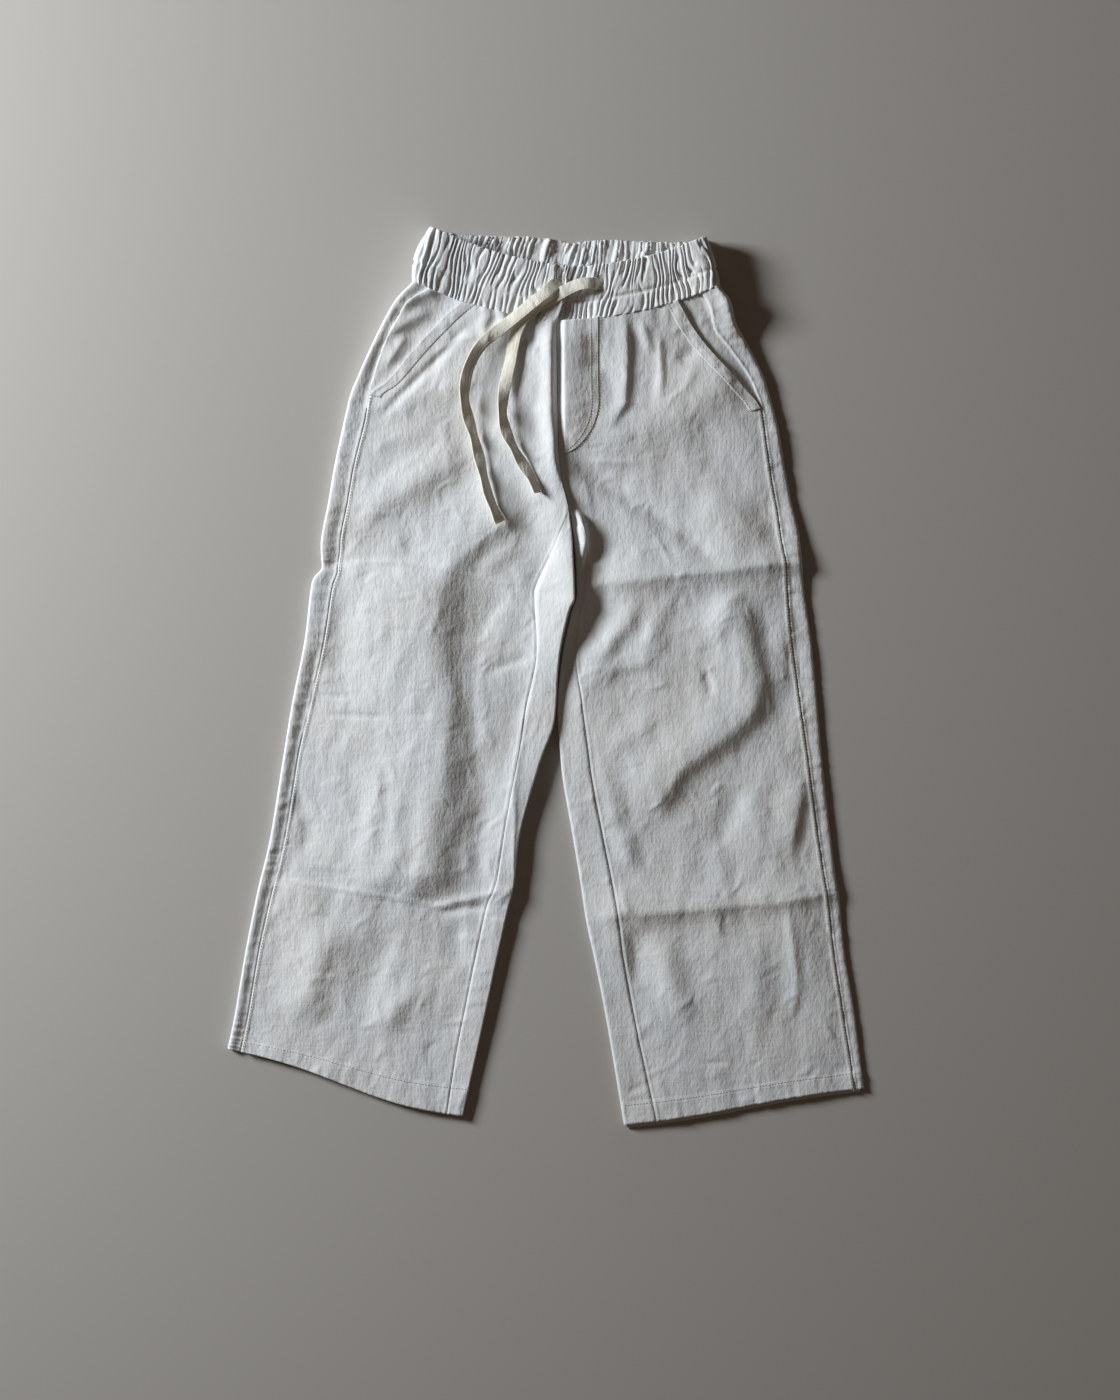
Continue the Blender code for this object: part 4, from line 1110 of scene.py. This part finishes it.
def leg_lines(leg):
    """Stitch rows of one leg: side seam, hem and pocket."""
    all_places, left = down_the_leg(leg)
    places = np.interp(-np.arange(0, left[0], LINE_STEP)[::-1], -left, all_places)
    row = rows_at(leg.rows, places)
    seam, mouth, width = row.seam[:, 0], row.mouth[:, 0], width_of(row)[:, 0]
    in_pocket = places < pocket_end(leg)
    lower = ~in_pocket
    lines = [
        row_line(leg, places[lower], seam[lower] + 0.9, SEAM_RISE + 0.1),
        row_line(leg, places[in_pocket], mouth[in_pocket] + POCKET_BAND - 1.2, 0.45),
    ]
    hem_place = np.interp(-HEM_STITCHING, -left, all_places)
    across = np.linspace(leg.roll_out, width[-1] - leg.roll_in, 120)
    lines.append(upper(leg, np.array([hem_place]), across[None, :], 0.35)[0])
    return lines


stitches = {leg.name: add_stitches("stitches_" + leg.name, leg_lines(leg)) for leg in LEGS}
fly_lines = []
for inset in FLY_ROWS:
    d = fly_edge[:, 0] - (fly_width(fly_row.in_y)[:, 0] - FLY_START - inset)
    keep = d < fly_edge[:, 0] - 1
    fly_lines.append(row_line(LEFT, fly_places[keep], d[keep], 0.75))
stitches["fly"] = add_stitches("stitches_fly", fly_lines)

# %% [markdown]
# ## What lies on the cloth
#
# The tapes rest on the finished surface, creases and gathers included. A ray sent straight
# down at a place finds the height of the cloth there.

# %% Height of the finished cloth
bpy.context.view_layer.update()
depsgraph = bpy.context.evaluated_depsgraph_get()
surfaces = [BVHTree.FromObject(piece, depsgraph) for piece in pieces]


def cloth_at(x, y):
    """Height of the topmost cloth at a place, in millimetres."""
    start = Vector((x * MM, y * MM, 0.1))
    hits = [surface.ray_cast(start, Vector((0, 0, -1)))[0] for surface in surfaces]
    return max([hit.z / MM for hit in hits if hit is not None], default=0.0)


level = round(CHANNEL * (levels - 1))
front_half = [p for p in ring[level] if p[2] > 9]
front_half.sort(key=lambda p: p[0])
channel_line = np.array([(x, y, cloth_at(x, y) + 0.05) for x, y, _ in front_half[::3]])
stitches["band"] = add_stitches("stitches_band", [channel_line])

# %% [markdown]
# ## Drawstring
#
# The drawstring is a folded strip, sewn shut along one edge, so it is flat and turns as it
# hangs. Each end leaves a buttonhole, loops over the band and lies down the right thigh. The
# route is a line of points with a lift above the cloth and a turn. Geometry Nodes sweep a
# flat rounded outline along it, with each point's own facing.

# %% Drawstring
TAPE_WIDTH, TAPE_THICKNESS = 9.0, 1.2
TAPE_SEWN = 2.7  # from the middle of the tape to its stitching
TAPE_CRUMPLE = 0.35
LEAVING = (-1.0, 0.2, 1.4)  # heights at which the tape comes up through its buttonhole
STEPS_A_POINT = 5
TapePoint = namedtuple("TapePoint", "x y lift turn")

RIGHT_TAPE = (
    TapePoint(10.5, 296.5, -1.0, 0),
    TapePoint(4.0, 288.6, 3.4, 0),
    TapePoint(-3.8, 282.0, 4.2, -10),
    TapePoint(-11.3, 276.0, 3.6, -14),
    TapePoint(-22.7, 266.8, 2.8, -14),
    TapePoint(-30.8, 260.6, 2.6, -6),
    TapePoint(-40.0, 253.6, 3.0, 12),
    TapePoint(-49.0, 245.0, 3.4, 26),
    TapePoint(-56.0, 233.0, 3.8, 30),
    TapePoint(-60.0, 219.0, 4.0, 24),
    TapePoint(-60.5, 205.0, 3.6, 44),
    TapePoint(-57.5, 191.0, 2.8, 22),
    TapePoint(-53.5, 178.0, 2.2, 48),
    TapePoint(-50.0, 164.0, 1.6, 24),
    TapePoint(-46.5, 149.0, 1.2, 50),
    TapePoint(-43.0, 135.5, 0.8, 42),
    TapePoint(-38.5, 124.0, 0.6, 48),
    TapePoint(-34.0, 114.5, 0.5, 20),
)
LEFT_TAPE = (
    TapePoint(40.5, 292.5, -1.0, 0),
    TapePoint(33.0, 292.0, 3.6, -8),
    TapePoint(25.5, 291.2, 5.0, -12),
    TapePoint(16.8, 287.8, 3.0, -5),
    TapePoint(7.9, 282.9, 0.8, 0),
    TapePoint(-0.9, 278.4, 0.5, 0),
    TapePoint(-9.2, 273.0, 0.5, 0),
    TapePoint(-16.8, 266.0, 0.5, -8),
    TapePoint(-21.8, 256.5, 0.5, -14),
    TapePoint(-24.4, 246.0, 0.8, -18),
    TapePoint(-26.6, 234.0, 1.8, -18),
    TapePoint(-29.6, 221.0, 2.8, -4),
    TapePoint(-31.8, 208.0, 3.4, 24),
    TapePoint(-32.3, 195.0, 3.4, 46),
    TapePoint(-29.6, 182.0, 2.6, 20),
    TapePoint(-24.0, 170.0, 2.0, 50),
    TapePoint(-17.0, 157.5, 1.4, 24),
    TapePoint(-10.5, 147.0, 1.1, 46),
    TapePoint(-6.5, 136.5, 0.6, 55),
)


def tape_route(points):
    """Line of a tape in millimetres, and the facing of its flat side."""
    values = np.asarray(points, float)
    at = np.linspace(0, len(values) - 1, (len(values) - 1) * STEPS_A_POINT + 1)
    found = smooth_between(values, np.gradient(values, axis=0), at)
    turn = np.radians(found[:, 3])
    cloth = np.array([cloth_at(x, y) for x, y in found[:, :2]])
    height = cloth + found[:, 2] + TAPE_WIDTH / 2 * np.abs(np.sin(turn)) + TAPE_THICKNESS / 2
    padded = np.pad(height, 3, mode="edge")
    height = np.maximum(height - 0.8, np.convolve(padded, np.ones(7) / 7, mode="valid"))
    height += TAPE_CRUMPLE * grain(np.arange(len(height)) / 3.3, 0 * height, 91)
    height[:3] = cloth[:3] + np.array(LEAVING)
    line = np.column_stack([found[:, :2], height])
    onward = np.gradient(line, axis=0)
    onward /= np.linalg.norm(onward, axis=1)[:, None]
    side = np.cross(onward, [0, 0, 1])
    side /= np.linalg.norm(side, axis=1)[:, None]
    over = np.cross(side, onward)
    facing = over * np.cos(turn)[:, None] - side * np.sin(turn)[:, None]
    return line, facing


def tape_tree():
    """Nodes that sweep a flat rounded outline along a line, each point facing its own way."""
    tree, given = new_tree(
        "tape",
        {
            "Width": ("NodeSocketFloat", 0.008),
            "Thickness": ("NodeSocketFloat", 0.0013),
            "Material": ("NodeSocketMaterial", None),
        },
    )
    line = add_node(tree, "GeometryNodeMeshToCurve", {}, {"Mesh": given["Geometry"]})
    facing = add_node(
        tree, "GeometryNodeInputNamedAttribute", {"data_type": "FLOAT_VECTOR"}, {"Name": "facing"}
    )
    faced = add_node(
        tree,
        "GeometryNodeSetCurveNormal",
        {"mode": "FREE"},
        {"Curve": line.outputs[0], "Normal": facing.outputs["Attribute"]},
    )
    outline = add_node(
        tree,
        "GeometryNodeCurvePrimitiveQuadrilateral",
        {},
        {"Width": given["Thickness"], "Height": given["Width"]},
    )
    rounded = add_node(
        tree,
        "GeometryNodeFilletCurve",
        {"mode": "POLY"},
        {"Curve": outline.outputs[0], "Radius": 0.0005, "Count": 3},
    )
    swept = add_node(
        tree,
        "GeometryNodeCurveToMesh",
        {},
        {"Curve": faced.outputs[0], "Profile Curve": rounded.outputs[0], "Fill Caps": True},
    )
    finish_tree(tree, swept.outputs[0], given["Material"])
    return tree


sweep = tape_tree()
tapes, tape_lines = {}, {}


def add_tape(side, points):
    """One end of the drawstring, with the stitching that closes it."""
    line, facing = tape_route(points)
    mesh = bpy.data.meshes.new("drawstring_" + side + "_tape")
    mesh.from_pydata((line * MM).tolist(), [(k, k + 1) for k in range(len(line) - 1)], [])
    mesh.attributes.new("facing", "FLOAT_VECTOR", "POINT").data.foreach_set(
        "vector", facing.ravel()
    )
    tape = bpy.data.objects.new(mesh.name, mesh)
    bpy.context.scene.collection.objects.link(tape)
    sizes = {"Width": TAPE_WIDTH * MM, "Thickness": TAPE_THICKNESS * MM}
    run_tree(tape, sweep, {**sizes, "Material": tape_linen})
    onward = np.gradient(line, axis=0)
    across = np.cross(facing, onward)
    across /= np.linalg.norm(across, axis=1)[:, None]
    sewn = line + across * TAPE_SEWN + facing * (TAPE_THICKNESS / 2 + 0.05)
    stitches["tape_" + side] = add_stitches("stitches_tape_" + side, [sewn], TAPE_STITCH)
    tapes[side], tape_lines[side] = tape, line
    length = np.linalg.norm(np.diff(line, axis=0), axis=1).sum()
    print(tape.name, "mm:", round(length, 1), "box:", [round(v / MM, 1) for v in tape.dimensions])
    return length


tape_lengths = {"left": add_tape("left", LEFT_TAPE), "right": add_tape("right", RIGHT_TAPE)}

# %% [markdown]
# ## Buttonholes
#
# Each end of the drawstring leaves through an oval hole, edged with close, thick stitching.
# The edge could be a bent ring, but thread shows better as what it is. The nodes that make
# the seams set short, thick dashes close together, round an oval that lies on the gathers.

# %% Buttonholes
HOLE_HALF_WIDTH = 2.6
HOLE_SIDE, HOLE_TIP = 4.2, 2.4  # half its length: the straight side and the round end


def hole_line(x, y):
    """Oval line of a buttonhole on the band."""
    angles = np.linspace(0, 2 * np.pi, 33)
    points = []
    for angle in angles:
        place_x = x + HOLE_HALF_WIDTH * math.cos(angle)
        place_y = y + HOLE_SIDE * math.tanh(2 * math.sin(angle)) + HOLE_TIP * math.sin(angle)
        points.append((place_x, place_y, cloth_at(place_x, place_y) + 0.2))
    return np.array(points)


holes = {}
for side, (x, y) in zip(("right", "left"), HOLES):
    holes[side] = add_stitches("buttonhole_" + side + "_edge", [hole_line(x, y)], EDGE_STITCH)

# %% [markdown]
# ## Table, light and camera
#
# The photograph looks straight down, with one window on the left. A square lamp as large as
# a small window gives soft shadows to the right, and a dim warm sky fills them. The camera
# stands back with a long lens, which keeps the legs from spreading towards the edges.

# %% Table, light and camera
FLOOR_REACH = 4.0
FLOOR_HEIGHT = -0.0006  # just under the cloth, so that no two faces meet
# A matt table top: plain warm grey that takes the soft shadow and hardly shines
floor_material, floor_shader = new_material("matt_table_top", "#BDB8B2")
floor_shader.inputs["Roughness"].default_value = 0.75
floor_shader.inputs["Specular IOR Level"].default_value = 0.2
floor_mesh = bpy.data.meshes.new("table_top")
corners = [(FLOOR_REACH * x, FLOOR_REACH * y) for x, y in ((-1, -1), (1, -1), (1, 1), (-1, 1))]
floor_mesh.from_pydata([(x, y, FLOOR_HEIGHT) for x, y in corners], [], [(0, 1, 2, 3)])
floor_mesh.materials.append(floor_material)
floor = bpy.data.objects.new("table_top", floor_mesh)
bpy.context.scene.collection.objects.link(floor)

LAMP_DISTANCE = 1.9
LAMP_SIZE = 0.5
LAMP_WATTS = 45.0
LAMP_ELEVATION = 24.0
LAMP_FROM = Vector((-0.92, 0.39, 0)).normalized()
height = math.sin(math.radians(LAMP_ELEVATION))
reach = math.cos(math.radians(LAMP_ELEVATION))
lamp_data = bpy.data.lights.new("window", "AREA")
lamp_data.shape = "SQUARE"
lamp_data.size = LAMP_SIZE
lamp_data.energy = LAMP_WATTS
lamp_data.color = (0.90, 0.955, 1.0)
lamp = bpy.data.objects.new("window", lamp_data)
lamp.location = LAMP_DISTANCE * (LAMP_FROM * reach + Vector((0, 0, height)))
lamp.rotation_euler = lamp.location.to_track_quat("Z", "Y").to_euler()
bpy.context.scene.collection.objects.link(lamp)

sky = bpy.data.worlds.new("room")
sky.use_nodes = True
sky.node_tree.nodes["Background"].inputs["Color"].default_value = linear("#F0D4B8")
sky.node_tree.nodes["Background"].inputs["Strength"].default_value = 0.07
bpy.context.scene.world = sky

CAMERA_PLACE = (0.0105, -0.018, 2.333)
LENS = 80
camera_data = bpy.data.cameras.new("overhead")
camera_data.lens = LENS
camera_data.sensor_width = 36
camera_data.dof.use_dof = False
camera = bpy.data.objects.new("overhead", camera_data)
camera.location = CAMERA_PLACE
bpy.context.scene.collection.objects.link(camera)
bpy.context.scene.camera = camera
# White cloth keeps its contrast with the plain transform
bpy.context.scene.view_settings.view_transform = "Standard"
print("camera:", tuple(camera.location))

# %% [markdown]
# ## What each piece is
#
# Every piece rides on a body and hides the solids that it stands for. Its cut of cloth is
# printed as a flat area beside the area of its mesh. The areas come from the seam lines on the
# layout and never from the finished mesh, or the mesh would be set beside itself.

# %% Bodies, hidden solids and cut areas
# Flat width and length of what shows of each cut, in metres
CUTS = {
    "back": (0.29, 0.63),
    "front": (0.21, 0.62),
    "facing": (0.034, 0.12),
    "band": (0.0105, 0.115),
    "fly": (0.03, 0.105),
    "waistband": (0.95, 0.043),
}


def flat_area(leg, places, first, last):
    """Flat area in square metres between two lines down a leg, from the layout alone."""
    row = rows_at(leg.rows, places)
    sides = [np.hstack(flat_place(row, d)) * MM for d in (first, last)]
    x, y = np.vstack([sides[0], sides[1][::-1]]).T
    return float(abs(np.dot(x, np.roll(y, 1)) - np.dot(y, np.roll(x, 1))) / 2)


def cut_areas(leg):
    """Flat areas of one leg's cuts: what lies between their seam lines, without creases."""
    places = down_the_leg(leg)[0]
    row = rows_at(leg.rows, places)
    width = width_of(row)
    inner = width - row.inseam
    under = flat_area(leg, places, 0 * width, width)
    strips = flat_area(leg, places, 0 * width, row.seam) + flat_area(leg, places, inner, width)
    pocket = places[places <= pocket_end(leg)]
    by_pocket = rows_at(leg.rows, pocket)
    facing_end, band_end = by_pocket.mouth + FACING_END, by_pocket.mouth + POCKET_BAND
    return {
        "back": under + strips,
        "front": flat_area(leg, places, row.mouth, inner),
        "facing": flat_area(leg, pocket, by_pocket.seam - FACING_START, facing_end),
        "band": flat_area(leg, pocket, by_pocket.mouth, band_end),
    }


def model_area(piece):
    """Area of one face of a modelled piece in square metres, from its two faces."""
    bpy.context.view_layer.update()
    found = piece.evaluated_get(bpy.context.evaluated_depsgraph_get())
    mesh = found.to_mesh()
    area = sum(face.area for face in mesh.polygons) / 2
    found.to_mesh_clear()
    return area


def declare(piece, nodes, flat, area):
    """Attach a piece of cloth to its body, hide the solids it stands for, and print its cut in flat
    square metres beside its modelled area.
    """
    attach(piece, body)
    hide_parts(*nodes)
    cut = area or flat[0] * flat[1]
    print(piece.name, "cut, m2:", round(cut, 5), "modelled:", round(model_area(piece), 5))


for item in stitches.values():
    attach(item, body)
for leg in LEGS:
    side = leg.name
    facing, mouth = pockets[side]
    cut = cut_areas(leg)
    declare(backs[side], ("back_" + side,), CUTS["back"], cut["back"])
    declare(fronts[side], ("front_" + side,), CUTS["front"], cut["front"])
    declare(facing, ("pocket_facing_" + side,), CUTS["facing"], cut["facing"])
    declare(mouth, ("pocket_band_" + side,), CUTS["band"], cut["band"])
    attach(holes[side], body)
    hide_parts("buttonhole_" + side)
    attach(tapes[side], body)
    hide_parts("drawstring_" + side)
fly_start = fly_edge - (fly_width(fly_row.in_y) - FLY_START)
fly_cut = flat_area(LEFT, fly_places, fly_start, fly_edge)
declare(fly, ("mock_fly",), CUTS["fly"], fly_cut)
declare(
    band,
    ("waistband",),
    CUTS["waistband"],
    None,
)
